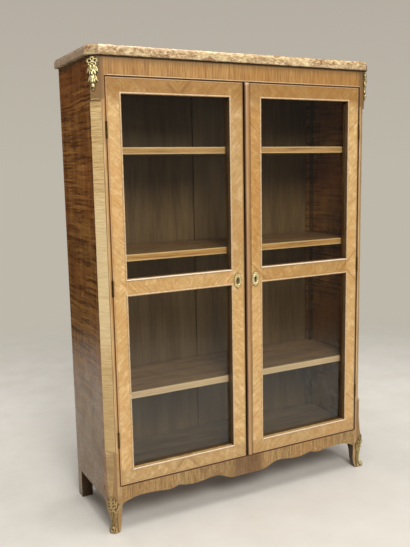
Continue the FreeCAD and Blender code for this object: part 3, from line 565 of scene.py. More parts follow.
def cant_tone(sh, out, mottle):
    """Colour and fine lines of the pale cross-grained veneer of the canted corners, with a painted
    highlight on faces turned up and painted shade on faces turned down.
    """
    _, y, z = sh.place()
    grain = wavy(sh, (sh.plus(out, y), z, sh.minus(out, y)), 0.8 * MM, 8.0)
    lines, narrow = figure(sh, grain, 0.12, 0.1, 0.7)
    colour = sh.tones(lines, srgb(178, 140, 84), srgb(213, 179, 123), srgb(234, 204, 148))
    speckle = sh.noise(sh.position(), scale=240.0, detail=3.0, roughness=0.7)
    colour = sh.stain(colour, srgb(178, 142, 88), speckle, 0.52, 0.7, 0.5)
    colour = sh.stain(colour, srgb(180, 142, 88), mottle, 0.5, 0.75, 0.5)
    colour = sh.stain(colour, srgb(178, 148, 96), z, *CANT_FADE, 0.5)
    waist = sh.times(sh.remap(z, *WAIST_RISE), sh.remap(z, *WAIST_FALL))
    colour = sh.mix(sh.times(waist, 0.5), colour, srgb(242, 220, 172))
    # Painted highlight on faces turned up, such as the lower stop of the sunk panel, and painted
    # shade on faces turned down
    upward = sh.facing()[2]
    colour = sh.stain(colour, srgb(244, 226, 184), upward, 0.15, 0.4, 0.8)
    return sh.stain(colour, srgb(104, 70, 36), upward, -0.15, -0.4, 0.7), narrow


def arris_tone(sh, out):
    """Colour of the brown front of the corner posts, darker along its outer edge."""
    _, y, z = sh.place()
    lines = figure(sh, wavy(sh, (z, out, y), 2 * MM, 6.0), 0.2, 0.3, 0.5)[0]
    colour = sh.tones(lines, srgb(156, 118, 72), srgb(184, 148, 98), srgb(204, 170, 120))
    return sh.stain(colour, srgb(124, 86, 46), out, SUNK_EDGE - 3 * MM, SUNK_EDGE - 1.5 * MM, 0.8)


def post_veneer():
    """Pale canted corner, its front arris in brown, its outer face in the side veneer, with painted
    shade on faces turned inward and in the door gaps.
    """
    sh = new_finish("post_veneer")
    x, _, z = sh.place()
    out = sh.absolute(x)
    mottle = sh.noise(sh.position(), scale=24.0, detail=5.0, roughness=0.65)
    colour, narrow = cant_tone(sh, out, mottle)
    outward, forward, _ = sh.facing()
    front = sh.remap(sh.times(forward, -1.0), 0.86, 0.96)
    colour = sh.mix(front, colour, arris_tone(sh, out))
    colour = sh.stain(colour, srgb(116, 82, 44), z, *TOP_BLOCK, 0.75)
    stained = sh.remap(mottle, 0.35, 0.65, 0.3, 0.8)
    foot_block = sh.times(sh.remap(z, *FOOT_BLOCK), stained)
    colour = sh.mix(foot_block, colour, srgb(142, 108, 62))
    # Painted shade: faces turned to the middle of the case, such as the inner side of the feet, are
    # darkened
    outer = sh.times(outward, sh.math("SIGN", x))
    colour = sh.stain(colour, srgb(40, 26, 14), outer, -0.5, -0.9, 0.9)
    colour = sh.stain(colour, side_tone(sh)[0], outer, 0.8, 0.94)
    colour, rounded = aged_and_shaded(sh, colour, srgb(226, 198, 150))
    # Painted light and shade in the gap beside each door: the jamb takes the hinge-gap colours
    jamb = sh.remap(out, DOOR_EDGE + 7 * MM, DOOR_EDGE + 4 * MM, 0.0, 0.9)
    gap_shade = sh.mix(sh.remap(x, -0.1, 0.1), HINGE_GAP_SHADE["left"], HINGE_GAP_SHADE["right"])
    colour = sh.mix(sh.times(jamb, sh.remap(z, *JAMB_FOOT)), colour, gap_shade)
    # Painted shadow and dirt below the marble
    colour = shadow_under_slab(sh, colour)
    return polished(sh, colour, narrow, rough=0.38, grain_bump=0.06, normal=rounded)


def plain_wood(name, tones, axis):
    """Solid timber with its grain along one axis of the part's frame."""
    sh = new_finish(name)
    x, y, z = sh.place()
    order = {"x": (x, z, y), "z": (z, x, y)}[axis]
    lines, narrow = figure(sh, wavy(sh, order, 14 * MM, 3.0), 0.45, 0.35, 0.25)
    colour = sh.tones(lines, *tones)
    pale = tones[2]
    colour, rounded = aged_and_shaded(sh, colour, pale, grime=0.6)
    return polished(sh, colour, narrow, rough=0.5, coat=0.05, normal=rounded)


def shelf_wood(name, faded):
    """Brown board with a golden front edge; faded is how far that edge has paled."""
    sh = new_finish(f"{name}_wood")
    x, y, z = sh.place()
    lines, narrow = figure(sh, wavy(sh, (x, sh.plus(y, z), z), 10 * MM, 3.0), 0.4, 0.4, 0.3)
    board = sh.tones(lines, srgb(104, 72, 42), srgb(136, 100, 62), srgb(160, 122, 80))
    edge = sh.tones(lines, srgb(150, 96, 48), srgb(202, 143, 76), srgb(222, 170, 104))
    low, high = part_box(name)
    arris = sh.least(sh.minus(z, low.z), sh.minus(high.z, z))
    edge = sh.stain(edge, srgb(244, 206, 148), arris, 5.5 * MM, 3 * MM, 0.6)
    edge = sh.mix(faded, edge, srgb(222, 196, 164))
    colour = sh.stain(board, edge, y, low.y + 5 * MM, low.y + 3 * MM)
    worn = srgb(240, 206, 154)
    colour, rounded = aged_and_shaded(sh, colour, worn, wear=0.85, grime=0.5, radius=3.2 * MM)
    return polished(sh, colour, narrow, rough=0.45, coat=0.08, normal=rounded)


def bead_wood():
    """Narrow mouldings, with a painted highlight on the tops of the beads along the sills and
    painted shade on faces turned down.
    """
    sh = new_finish("bead_wood")
    z = sh.place()[2]
    lines = sh.noise(sh.position(), scale=140.0, detail=4.0)
    colour = sh.ramp(
        lines, (0.25, srgb(174, 140, 100)), (0.55, srgb(206, 174, 132)), (0.8, srgb(222, 196, 158))
    )
    upward = sh.facing()[2]
    # Painted highlight on the upturned faces of the beads along the sills
    sills = []
    for pane, gleam in (("lower", 0.6), ("upper", 0.95)):
        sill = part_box(f"left_door_{pane}_glass")[0].z
        sills.append(sh.remap(sh.absolute(sh.minus(z, sill)), 20 * MM, 14 * MM, 0.0, gleam))
    lit = sh.times(sh.remap(upward, 0.2, 0.7), sh.math("MAXIMUM", *sills))
    colour = sh.mix(lit, colour, srgb(255, 248, 232))
    # Painted shade on faces turned down
    colour = sh.stain(colour, srgb(130, 90, 50), upward, -0.2, -0.7, 0.5)
    colour = aged_and_shaded(sh, colour, srgb(238, 216, 182), wear=0.3, grime=0.8)[0]
    return polished(sh, colour, lines, rough=0.3, coat=0.3)


def strip_veneer():
    """The closing strip: upright grain, with painted shade in the gap at its outer edge, a pale
    grey painted highlight beside it down its rounded face, and a dark line at its groove.
    """
    sh = new_finish("closing_strip_wood")
    x, y, z = sh.place()
    lines, narrow = figure(sh, wavy(sh, (z, x, y), 3 * MM, 6.0), 0.3, 0.4, 0.4)
    fibre = sh.tones(lines, srgb(136, 92, 50), srgb(170, 126, 76), srgb(196, 152, 102))
    low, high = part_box("closing_strip")
    # Across the strip: painted shade in the gap, a painted highlight, browns, and a dark line at
    # the groove
    colour = sh.ramp(
        sh.over(sh.minus(x, low.x), high.x - low.x),
        (0.06, GAP_SHADE), (0.2, srgb(178, 148, 116)), (0.38, srgb(176, 138, 96)),
        (0.6, srgb(158, 112, 66)), (0.84, srgb(166, 116, 62)), (0.96, srgb(130, 78, 30)),
    )
    colour = sh.mix(0.4, colour, fibre)
    colour = sh.stain(colour, srgb(226, 196, 150), z, high.z - 12 * MM, high.z, 0.7)
    colour, rounded = aged_and_shaded(sh, colour, srgb(206, 170, 126), wear=0.35)
    return polished(sh, colour, narrow, rough=0.36, normal=rounded)


def marble():
    """Pinkish breccia: pale and brown fragments in a tan ground, with fine veins, paler painted
    light on its ends and a painted highlight along its edges.
    """
    sh = new_finish("marble")
    x, y, z = sh.place()
    base = sh.vector(sh.times(x, 0.62), y, sh.times(z, 1.3))
    bend = sh.add("ShaderNodeTexNoise", {"Vector": base, "Scale": 22.0, "Detail": 4.0})
    sockets = {0: bend.outputs["Color"], 1: (0.05, 0.05, 0.05), 2: base}
    bent = sh.add("ShaderNodeVectorMath", sockets, operation="MULTIPLY_ADD").outputs[0]
    cracks = {"Vector": bent, "Scale": 38.0}
    cells = sh.add("ShaderNodeTexVoronoi", cracks)
    edges = sh.add("ShaderNodeTexVoronoi", cracks, feature="DISTANCE_TO_EDGE")
    cloud = sh.noise(base, scale=70.0, detail=7.0, roughness=0.74, distortion=1.2)
    colour = sh.ramp(
        cloud,
        (0.36, srgb(98, 68, 40)), (0.44, srgb(154, 118, 82)), (0.5, srgb(186, 154, 116)),
        (0.55, srgb(208, 184, 138)), (0.62, srgb(230, 215, 170)),
    )
    stone = sh.add("ShaderNodeSeparateColor", {0: cells.outputs["Color"]}).outputs[0]
    shade = sh.ramp(
        stone, (0.1, srgb(136, 94, 60)), (0.5, srgb(190, 156, 118)), (0.9, srgb(228, 208, 152))
    )
    colour = sh.mix(0.22, colour, shade)
    blot = sh.noise(base, scale=13.0, detail=5.0, roughness=0.6, distortion=0.8)
    colour = sh.stain(colour, srgb(146, 112, 74), blot, 0.54, 0.66, 0.5)
    colour = sh.stain(colour, srgb(236, 220, 168), blot, 0.45, 0.36, 0.4)
    colour = sh.stain(colour, srgb(112, 74, 48), edges.outputs["Distance"], 0.05, 0.0, 0.3)
    # Painted light: the ends of the slab are made paler and pinker
    lit_ends = sh.absolute(sh.facing()[0])
    colour = sh.stain(colour, srgb(250, 214, 186), lit_ends, 0.8, 0.95, 0.5)
    # Painted highlight along the rounded edges
    rim, rounded = sh.edge(3.2 * MM)
    colour = sh.mix(sh.times(rim, 0.7), colour, srgb(250, 242, 220))
    surface = sh.principled(
        base_color=colour,
        roughness=sh.remap(cloud, 0.3, 0.7, 0.16, 0.34),
        coat_weight=0.2,
        coat_roughness=0.12,
        normal=sh.bump(cloud, 0.08, 0.3 * MM, rounded),
    )
    return sh.show(surface)


def metal(name, tones, rough, grime, reach, shine=1.0, rise=None):
    """Cast or drawn metal, dull in its hollows and, over the rise of a relief, rubbed bright."""
    sh = new_finish(name)
    bright, dull, recess = tones
    spots = sh.noise(sh.position(), scale=160.0, detail=4.0, roughness=0.6)
    colour = sh.stain(bright, dull, spots, 0.4, 0.7)
    hollow = sh.minus(1.0, sh.crevice(reach, 0.3, 0.9))
    colour = sh.mix(sh.times(hollow, grime), colour, recess)
    if rise:
        low, high = rise
        height = sh.add("ShaderNodeAttribute", {}, attribute_name="relief").outputs["Fac"]
        colour = sh.stain(colour, recess, height, high, low, 0.85)
    surface = sh.principled(
        base_color=colour,
        metallic=shine,
        roughness=sh.remap(spots, 0.3, 0.75, rough - 0.08, rough + 0.16),
        normal=sh.bump(spots, 0.15, 0.2 * MM),
    )
    return sh.show(surface)


# Glass: its tint, and the share of light that it mirrors head on
GLASS_TINT = (0.93, 0.945, 0.92, 1.0)
GLASS_MIRROR = 0.045


def glass():
    """Old drawn pane: clear, with a faint tint and a slow ripple in what it mirrors."""
    sh = new_finish("glass")
    x, y, z = sh.place()
    ripple = sh.noise(sh.vector(x, y, sh.times(z, 0.6)), scale=9.0, detail=2.0)
    normal = sh.bump(ripple, 0.1, 0.6 * MM)
    away = sh.add("ShaderNodeLayerWeight", {"Blend": 0.5, "Normal": normal}).outputs["Facing"]
    mirror = sh.math("MULTIPLY_ADD", sh.math("POWER", away, 5.0), 1 - GLASS_MIRROR, GLASS_MIRROR)
    clear = sh.add("ShaderNodeBsdfTransparent", {"Color": GLASS_TINT}).outputs[0]
    gloss = sh.add("ShaderNodeBsdfAnisotropic", {"Roughness": 0.02, "Normal": normal}).outputs[0]
    return sh.show(sh.add("ShaderNodeMixShader", {0: mirror, 1: clear, 2: gloss}).outputs[0])


# Dark, middle and pale tones of woods; bright, dull and hollow tones of metals
FRIEZE_TONES = (srgb(138, 94, 42), srgb(168, 122, 62), srgb(186, 144, 82))
APRON_TONES = (srgb(122, 91, 49), srgb(151, 119, 70), srgb(180, 148, 97))
INSIDE_TONES = (srgb(98, 71, 42), srgb(114, 86, 53), srgb(128, 99, 62))
BOARD_TONES = (srgb(72, 52, 32), srgb(104, 78, 50), srgb(128, 100, 66))
STRIP_TONES = (srgb(84, 56, 32), srgb(116, 82, 50), srgb(140, 104, 66))
HINGE_BRASS = (srgb(108, 80, 42), srgb(70, 48, 24), srgb(30, 18, 8))
LOCK_STEEL = (srgb(120, 116, 110), srgb(84, 78, 72), srgb(40, 30, 24))
GILT_BRASS = (srgb(250, 236, 182), srgb(226, 202, 134), srgb(58, 42, 6))
OLIVE_BRASS = (srgb(208, 188, 130), srgb(142, 118, 68), srgb(44, 28, 6))
DULL_BRONZE = (srgb(186, 160, 110), srgb(132, 104, 58), srgb(58, 38, 14))
RUBBED_BRASS = (srgb(248, 230, 172), srgb(208, 180, 116), srgb(54, 36, 8))
SHELF_FADING = {"lower_shelf": 0.6, "middle_shelf": 0.0, "upper_shelf": 0.08}

# Castings: tones, roughness, grime, reach of the grime, shine, and heights from dull to rubbed
CASTINGS = {
    "gilt_brass": (GILT_BRASS, 0.36, 0.9, 5 * MM, 0.6, (1.0, 5.0)),
    "olive_brass": (OLIVE_BRASS, 0.38, 0.9, 8 * MM, 0.5, (0.8, 5.0)),
    "dull_bronze": (DULL_BRONZE, 0.46, 0.85, 6 * MM, 0.4, (0.5, 3.4)),
    "rubbed_brass": (RUBBED_BRASS, 0.4, 0.9, 4 * MM, 0.6, (0.5, 2.3)),
    "bright_brass": (GILT_BRASS, 0.36, 0.9, 4 * MM, 0.6, (0.3, 1.7)),
}
CORNER_CASTING = {"left": "gilt_brass", "right": "olive_brass"}
SHOE_CASTING = {"left": "dull_bronze", "right": "olive_brass"}
PLATE_CASTING = {"left": "rubbed_brass", "right": "bright_brass"}


def dress(finish, *names):
    """Gives a finish to nodes of the frame."""
    for name in names:
        mesh = NODES[name].data
        mesh.materials.clear()
        mesh.materials.append(finish)


def both(*names):
    return [f"{side}_{name}" for side in SIDES for name in names]


def finishes():
    """The finish of every solid of the frame that no relief replaces."""
    for side in SIDES:
        door = Door(side)
        outer = ("hinge_stile", "meeting_stile", "top_rail", "bottom_rail")
        dress(door_veneer(door, "frame"), *[f"{side}_door_{part}" for part in outer])
        dress(door_veneer(door, "middle_rail"), f"{side}_door_middle_rail")
    frieze = crossband("frieze_rail", FRIEZE_TONES, leaf=118 * MM, worn=0.25, dented=0.0)
    dress(frieze, "frieze_rail")
    apron = crossband("apron_rail", APRON_TONES, leaf=96 * MM, worn=0.6, dented=0.6)
    dress(apron, "apron_rail")
    dress(post_veneer(), *both("front_post"))
    dress(side_veneer(), *both("side_panel", "rear_post"))
    inside = plain_wood("carcase_wood", INSIDE_TONES, "z")
    dress(inside, "back_muntin", "back_top_rail", "back_bottom_rail", *both("back_panel"))
    boards = plain_wood("board_wood", BOARD_TONES, "x")
    dress(boards, "top_board", "bottom_board", "door_stop_rail")
    for name, faded in SHELF_FADING.items():
        dress(shelf_wood(name, faded), name)
    dress(bead_wood(), "frieze_bead", *both("door_front_beads"))
    dress(strip_veneer(), "closing_strip")
    dress(plain_wood("strip_wood", STRIP_TONES, "z"), *both("door_glazing_strips"))
    dress(glass(), *both("door_lower_glass", "door_upper_glass"))
    dress(marble(), "marble_top")
    brass = metal("hinge_brass", HINGE_BRASS, rough=0.4, grime=0.85, reach=6 * MM)
    dress(brass, "hinge_post_leaves", "hinge_pins", "hinge_post_screws", "shelf_pins")
    dress(brass, "strike_plate", "flush_bolt_plates")
    dress(brass, *both("hinge_door_leaves", "hinge_door_screws"))
    steel = metal("lock_steel", LOCK_STEEL, rough=0.4, grime=0.7, reach=6 * MM)
    dress(steel, "lock_case", "lock_bolt", "top_flush_bolt", "bottom_flush_bolt")


# Cast mounts: reliefs over a ground, with u across it, v up it and h out of it, in millimetres
MIRRORED = (-1, 1)
SPINE_STEPS = np.linspace(0.0, 1.0, 41)
SMOOTH_ANGLE = math.radians(55)

# Field of each relief: half its width, its lowest and highest v, and the step of its grid
CORNER_FIELD = (20.0, -1.0, 103.0, 0.7)
SHOE_FIELD = (31.0, 0.0, 135.0, 0.8)
PLATE_FIELD = (15.0, -27.0, 27.0, 0.5)
FIELD_FLOOR = -4.0
HOLE_SLOPE = 12

# Rings of the bow: place across, place up, half width and half height
BOW = ((9.6, 88.0, 6.4, 5.2), (0.0, 93.6, 4.6, 5.0), (6.6, 78.6, 4.6, 4.2))
# Leaves of the corner mounts: root, bend and tip of the spine, width and height
TAILS = (
    ((9.0, 90.0), (15.0, 94.0), (19.0, 97.5), 4.4, 5.0),
    ((8.0, 78.0), (14.0, 76.0), (19.0, 78.5), 4.4, 5.0),
)
HUSKS = (
    ((4.0, 74.0), (12.0, 66.0), (19.0, 52.5), 11.0, 8.0),
    ((3.0, 70.0), (9.0, 58.0), (9.5, 44.5), 9.0, 8.0),
    ((2.5, 47.0), (10.0, 40.0), (17.0, 25.5), 10.0, 7.0),
    ((2.0, 44.0), (6.5, 33.0), (6.5, 21.0), 7.5, 7.0),
)
# Height of the shoes' sides and of their crowns, as shares of a full relief
SHOE_LIFT = {"left": 0.6, "right": 1.1}
CROWN_LIFT = 0.6
SHOE_RIBS = (-20, -13.2, -6.6, 0, 6.6, 13.2, 20)
SHOE_HOLES = ((5.6, 108.0), (5.2, 95.0), (11.5, 96.0), (12.0, 83.0), (19.0, 87.0))
# Lobes of an escutcheon: place across, place up, half width, half height and height
LOBES = (
    (0.0, 21.6, 3.2, 3.6, 4.0), (5.0, 19.9, 2.8, 3.4, 3.6), (9.2, 15.4, 2.8, 3.2, 3.2),
    (12.0, 8.6, 2.3, 3.8, 3.0), (12.6, 0.4, 2.0, 3.4, 2.6), (12.0, -8.0, 2.3, 3.8, 3.0),
    (9.0, -15.2, 2.7, 3.2, 3.2), (4.6, -19.6, 2.6, 3.2, 3.4), (0.0, -21.8, 2.8, 3.5, 3.8),
)


def dome(share, height):
    """A rounded form: share is 1 along its spine, 0 on its outline and less outside."""
    return height * np.sign(share) * np.sqrt(np.abs(share))


def frond(u, v, start, bend, tip, width, height):
    """A leaf along a bent spine, broad near its root, with a sunk midrib and a lifted tip."""
    reach = np.full(u.shape, 1e6)
    along = np.zeros(u.shape)
    for t in SPINE_STEPS:
        weights = ((1 - t) ** 2, 2 * t * (1 - t), t ** 2)
        centre_u = sum(w * p[0] for w, p in zip(weights, (start, bend, tip)))
        centre_v = sum(w * p[1] for w, p in zip(weights, (start, bend, tip)))
        distance = np.hypot(u - centre_u, v - centre_v)
        along = np.where(distance < reach, t, along)
        reach = np.minimum(reach, distance)
    half = width / 2 * np.sin(np.pi * (0.12 + 0.88 * along) ** 0.75) + 0.05
    midrib = 1 - 0.4 * np.exp(-(reach / (0.13 * width)) ** 2)
    return dome(1 - (reach / half) ** 2, height * (0.6 + 0.4 * along) * midrib)


def fronds(u, v, *shapes):
    """Pairs of leaves, one each side of the middle line."""
    return [frond(u * side, v, *shape) for shape in shapes for side in MIRRORED]


def boss(u, v, centre, across, upward, height):
    """A rounded oval."""
    share = 1 - ((u - centre[0]) / across) ** 2 - ((v - centre[1]) / upward) ** 2
    return dome(share, height)


def ring(u, v, centre, across, upward, width, height):
    """A rounded oval ring."""
    around = np.hypot((u - centre[0]) / across, (v - centre[1]) / upward)
    return dome(1 - ((around - 1) * (across + upward) / width) ** 2, height)


def hole(u, v, centre, across, upward):
    """Below 0 inside a piercing, and quickly out of the way outside it."""
    around = np.hypot((u - centre[0]) / across, (v - centre[1]) / upward)
    return (around - 1) * HOLE_SLOPE


def tallest(*heights):
    return np.maximum.reduce(heights)


def lowest(*heights):
    return np.minimum.reduce(heights)


def corner_mount(u, v):
    """A bow of ribbon over two hanging husks and a bud."""
    bow = [
        ring(u * side, v, (place, level), across, tall, 4.6, 7.0)
        for side in MIRRORED
        for place, level, across, tall in BOW
    ]
    body = tallest(
        frond(u, v, (0, 98), (0, 50), (0, 6), 4.0, 2.5),
        *bow, *fronds(u, v, *TAILS), *fronds(u, v, *HUSKS),
        boss(u, v, (0, 85), 3.8, 3.8, 8.5),
        boss(u, v, (-5.4, 69.5), 5.6, 7.5, 9.5),
        boss(u, v, (5.4, 69.5), 5.6, 7.5, 9.5),
        frond(u, v, (0, 66), (0, 56), (0, 43), 11.0, 10.0),
        frond(u, v, (0, 48), (0, 36), (0, 20), 10.5, 10.0),
        boss(u, v, (0, 16.5), 6.4, 6.8, 9.5),
        frond(u, v, (0, 14), (0, 8), (0, 0.5), 8.0, 6.5),
    )
    return lowest(
        body,
        hole(u, v, (0, 59.5), 1.5, 2.2),
        hole(u, v, (0, 9.0), 1.8, 2.2),
        hole(u, v, (-9.6, 88.0), 3.4, 2.4),
        hole(u, v, (9.6, 88.0), 3.4, 2.4),
        hole(u, v, (0, 94.0), 2.2, 2.4),
    )


def sabot(u, v, lift):
    """A leafy shoe: pierced leaves at the top, a fluted shank and a scrolled toe."""
    leaves = fronds(
        u, v,
        ((3.0, 76.0), (9.0, 100.0), (10.0, 129.0), 13.0, 8.0 * CROWN_LIFT),
        ((5.0, 74.0), (15.0, 92.0), (19.0, 119.0), 14.0, 10.0 * CROWN_LIFT),
        ((8.0, 70.0), (21.0, 78.0), (27.0, 101.0), 14.0, 11.0 * lift),
        ((9.0, 64.0), (18.0, 66.0), (27.0, 80.0), 12.0, 7.0 * lift),
    )
    ribs = [
        boss(u, v, (place, 47), 2.9, 40.0, 5.4 + 4.0 * lift - 0.3 * abs(place))
        for place in SHOE_RIBS
    ]
    plate = lowest(1 - (u / 25) ** 2, (v - 6) / 10, (86 - v) / 10, np.ones(u.shape))
    body = tallest(
        dome(plate, 3.0),
        *leaves, *ribs,
        frond(u, v, (0, 74), (0, 102), (0, 133.0), 17.0, 13.0 * CROWN_LIFT),
        boss(u, v, (0, 98), 8.0, 13.0, 7.0 * lift),
        boss(u, v, (0, 79), 7.0, 5.0, 9.0),
        ring(u, v, (0, 12), 5.6, 6.6, 7.0, 14.0 * lift),
        boss(u, v, (0, 12), 2.4, 2.8, 12.0 * lift),
        boss(u, v, (-13, 8), 7.0, 7.5, 4.5),
        boss(u, v, (13, 8), 7.0, 7.5, 4.5),
        dome(lowest(1 - (u / 24) ** 2, (9 - v) / 8), 5.0),
    )
    sole = (v - 0.6) * 8
    piercings = [hole(u * side, v, place, 1.7, 2.6) for side in MIRRORED for place in SHOE_HOLES]
    return lowest(body, sole, *piercings)


def escutcheon(u, v):
    """An oval cartouche: a rolled ring round a sunk keyhole, with lobes about it."""
    lobes = [
        boss(u * side, v, (place, level), wide, tall, high)
        for place, level, wide, tall, high in LOBES
        for side in MIRRORED
    ]
    body = tallest(
        boss(u, v, (0, 0), 11.6, 18, 1.1),
        ring(u, v, (0, 0), 9.6, 15.6, 5.8, 3.8),
        *lobes,
    )
    return lowest(body, hole(u, v, (0, 3.4), 3.5, 3.5), hole(u, v, (0, -2.4), 2.0, 7.0))


def relief_points(form, half_width, low, high, step):
    """A closed shell of a relief, as a bmesh of points (u, v, h) that meets its ground at h = 0."""
    us = np.arange(-half_width, half_width + step / 2, step)
    vs = np.arange(low, high + step / 2, step)
    u, v = np.meshgrid(us, vs, indexing="ij")
    h = np.maximum(form(u, v), FIELD_FLOOR)
    bm = bmesh.new()
    grid = [[bm.verts.new(point) for point in zip(*row)] for row in zip(u, v, h)]
    for i in range(len(us) - 1):
        for j in range(len(vs) - 1):
            corners = (grid[i][j], grid[i + 1][j], grid[i + 1][j + 1], grid[i][j + 1])
            if max(corner.co.z for corner in corners) > 0:
                bm.faces.new(corners)
    bmesh.ops.triangulate(bm, faces=bm.faces[:])
    bmesh.ops.bisect_plane(
        bm, geom=bm.verts[:] + bm.edges[:] + bm.faces[:], dist=1e-6,
        plane_co=(0, 0, 0), plane_no=(0, 0, 1), clear_inner=True,
    )
    loose = [vert for vert in bm.verts if not vert.link_faces]
    bmesh.ops.delete(bm, geom=loose, context="VERTS")
    back = bmesh.ops.duplicate(bm, geom=bm.faces[:])["geom"]
    for vert in (item for item in back if isinstance(item, bmesh.types.BMVert)):
        vert.co.z = 0.0
    back_faces = [item for item in back if isinstance(item, bmesh.types.BMFace)]
    bmesh.ops.reverse_faces(bm, faces=back_faces)
    bmesh.ops.remove_doubles(bm, verts=bm.verts[:], dist=1e-4)
    return bm


def relief(stands_for, bm, ground, mirror, body, finish):
    """Lays a relief on its ground, as a piece that stands for a node of the frame."""
    name = f"{stands_for}_cast"
    heights = [vert.co.z for vert in bm.verts]
    for vert in bm.verts:
        point = ground(*vert.co)
        vert.co = (mirror * point.x, point.y, point.z)
    bmesh.ops.recalc_face_normals(bm, faces=bm.faces[:])
    mesh = bpy.data.meshes.new(name)
    bm.to_mesh(mesh)
    bm.free()
    mesh.attributes.new("relief", "FLOAT", "POINT").data.foreach_set("value", heights)
    mesh.polygons.foreach_set("use_smooth", [True] * len(mesh.polygons))
    mesh.set_sharp_from_angle(angle=SMOOTH_ANGLE)
    mesh.materials.append(finish)
    piece = new_object(name, mesh)
    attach(piece, body)
    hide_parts(stands_for)


# Grounds of the reliefs, on the left side of the case
OUTWARD = Vector((-1.0, -1.0, 0.0)).normalized()
SIDEWAYS = Vector((1.0, -1.0, 0.0)).normalized()
UPWARD = Vector((0.0, 0.0, 1.0))
CANT_FOOT = Vector((
    CORNER_X + BLOCK_CHAMFER / 2,
    FRONT + BLOCK_CHAMFER / 2,
    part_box("left_corner_mount")[0].z,
))
FOOT_AXIS = Vector((CORNER_X + 23 * MM, FRONT + 17 * MM, 0.0))
FOOT_ROUND = 22.0
BEYOND_FOOT = 0.1


def cant_ground(u, v, h):
    """On the canted block at the top of the corner."""
    return CANT_FOOT + (SIDEWAYS * u + UPWARD * v + OUTWARD * h) * MM


def foot_ground():
    """Round the foot, whose surface is found by looking at it from all sides."""
    mesh = NODES["left_front_post"].data
    faces = [face.vertices for face in mesh.polygons]
    tree = BVHTree.FromPolygons([vert.co for vert in mesh.vertices], faces)

    def ground(u, v, h):
        turn = u / FOOT_ROUND
        outward = OUTWARD * math.cos(turn) + SIDEWAYS * math.sin(turn)
        level = FOOT_AXIS + UPWARD * v * MM
        hit = tree.ray_cast(level + outward * BEYOND_FOOT, -outward)[0]
        return (hit or level) + outward * h * MM
    return ground


def plate_ground(side):
    """On the front of a door, about the middle of its escutcheon."""
    low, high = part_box(f"{side}_escutcheon")
    middle = (low + high) / 2

    def ground(u, v, h):
        return Vector((middle.x + u * MM, FRONT - h * MM, middle.z + v * MM))
    return ground


def mounts():
    """The six cast mounts; those of the left corner and foot are mirrored for the right ones."""
    cast = {name: metal(name, *look) for name, look in CASTINGS.items()}
    for side, sign in SIDES.items():
        mirror = -sign
        husks = relief_points(corner_mount, *CORNER_FIELD)
        finish = cast[CORNER_CASTING[side]]
        relief(f"{side}_corner_mount", husks, cant_ground, mirror, "carcase", finish)
        shoe = relief_points(partial(sabot, lift=SHOE_LIFT[side]), *SHOE_FIELD)
        finish = cast[SHOE_CASTING[side]]
        relief(f"{side}_sabot", shoe, foot_ground(), mirror, "carcase", finish)
        plate = relief_points(escutcheon, *PLATE_FIELD)
        finish = cast[PLATE_CASTING[side]]
        relief(f"{side}_escutcheon", plate, plate_ground(side), 1, f"{side}_door", finish)


def camera():
    """The photograph's camera."""
    data = bpy.data.cameras.new("camera")
    data.lens = CAMERA_LENS
    data.sensor_width = CAMERA_SENSOR
    eye = new_object("camera", data)
    level = Vector((math.cos(CAMERA_AZIMUTH), math.sin(CAMERA_AZIMUTH), 0.0))
    tilt = math.cos(CAMERA_ELEVATION)
    back = Vector((
        math.sin(CAMERA_AZIMUTH) * tilt,
        -math.cos(CAMERA_AZIMUTH) * tilt,
        math.sin(CAMERA_ELEVATION),
    ))
    upright = back.cross(level)
    right = math.cos(CAMERA_ROLL) * level + math.sin(CAMERA_ROLL) * upright
    up = math.cos(CAMERA_ROLL) * upright - math.sin(CAMERA_ROLL) * level
    turn = Matrix((right, up, back)).transposed().to_4x4()
    eye.matrix_world = Matrix.Translation(CAMERA_AT) @ turn
    bpy.context.scene.camera = eye


def lamps():
    """Soft round lamps about the case."""
    for name, place, target, size, power, mirrored in LAMPS:
        data = bpy.data.lights.new(name, "AREA")
        data.shape = "DISK"
        data.size = size
        data.energy = power
        lamp = new_object(name, data)
        lamp.location = place
        lamp.visible_glossy = mirrored
        aim = Vector(target) - Vector(place)
        lamp.rotation_euler = aim.to_track_quat("-Z", "Y").to_euler()


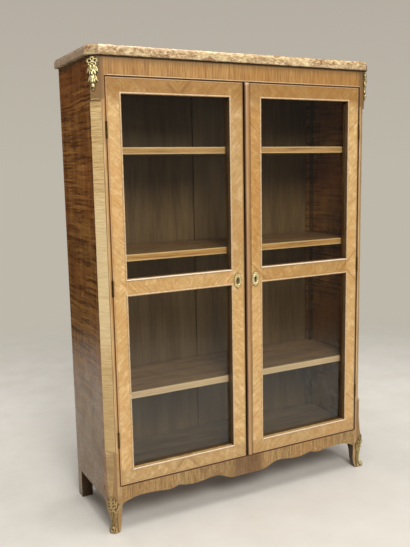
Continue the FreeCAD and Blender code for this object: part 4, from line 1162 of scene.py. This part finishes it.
def floor_cloth():
    """A pale cloth, with a painted shade before the case and painted dimming far in front, clear at
    a distance.
    """
    sh = new_finish("floor")
    x, y, _ = sh.place()
    cloth = sh.noise(sh.vector(x, y, 0.0), scale=5.0, detail=6.0, roughness=0.6)
    colour = sh.ramp(cloth, (0.3, srgb(220, 214, 203)), (0.7, srgb(232, 227, 217)))
    shade_x, shade_y = FLOOR_SHADE_AT
    from_shade = sh.hypot(sh.minus(x, shade_x), sh.minus(y, shade_y))
    # Painted shade about a spot before the case
    colour = sh.stain(colour, srgb(196, 190, 180), from_shade, FLOOR_SHADE_REACH, 0.0, 0.4)
    # Painted dimming far in front
    colour = sh.stain(colour, srgb(170, 165, 156), y, *FLOOR_DIM, 0.9)
    normal = sh.bump(cloth, 0.1, 4 * MM)
    surface = sh.principled(base_color=colour, roughness=0.85, normal=normal)
    clear = sh.add("ShaderNodeBsdfTransparent", {}).outputs[0]
    sockets = {0: sh.remap(sh.hypot(x, y), *FLOOR_FADE), 1: surface, 2: clear}
    return sh.show(sh.add("ShaderNodeMixShader", sockets).outputs[0])


def floor():
    """A round floor that melts into the backdrop."""
    mesh = bpy.data.meshes.new("floor")
    bm = bmesh.new()
    bmesh.ops.create_circle(bm, cap_ends=True, radius=FLOOR_RADIUS, segments=64)
    bm.to_mesh(mesh)
    bm.free()
    mesh.materials.append(floor_cloth())
    ground = new_object("floor", mesh)


def backdrop():
    """The studio around the object: a pale backdrop in sight, and soft light from all sides."""
    world = bpy.data.worlds.new("studio")
    bpy.context.scene.world = world
    sh = Nodes(world)
    coords = sh.add("ShaderNodeTexCoord", {}).outputs["Generated"]
    _, y, z = sh.add("ShaderNodeSeparateXYZ", {0: coords}).outputs
    colour = sh.ramp(z, (0.0, srgb(190, 184, 171)), (BACKDROP_TOP, srgb(180, 172, 160)))
    seen = sh.add("ShaderNodeBackground", {"Color": colour}).outputs[0]
    start, end = ROOM_TURN
    sockets = {0: y, 1: start, 2: end, 3: ROOM_FRONT, 4: ROOM_BACK}
    strength = sh.add("ShaderNodeMapRange", sockets).outputs[0]
    sockets = {"Color": colour, "Strength": strength}
    mirrored = sh.add("ShaderNodeBackground", sockets).outputs[0]
    sockets = {"Color": AMBIENT_COLOUR, "Strength": AMBIENT}
    result = sh.add("ShaderNodeBackground", sockets).outputs[0]
    path = sh.add("ShaderNodeLightPath", {}).outputs
    rays = {"Is Glossy Ray": mirrored, "Is Transmission Ray": seen, "Is Camera Ray": seen}
    for ray, shader in rays.items():
        sockets = {0: path[ray], 1: result, 2: shader}
        result = sh.add("ShaderNodeMixShader", sockets).outputs[0]
    sh.show(result, "ShaderNodeOutputWorld")


bpy.context.scene.view_settings.view_transform = "Standard"
finishes()
mounts()
camera()
lamps()
floor()
backdrop()
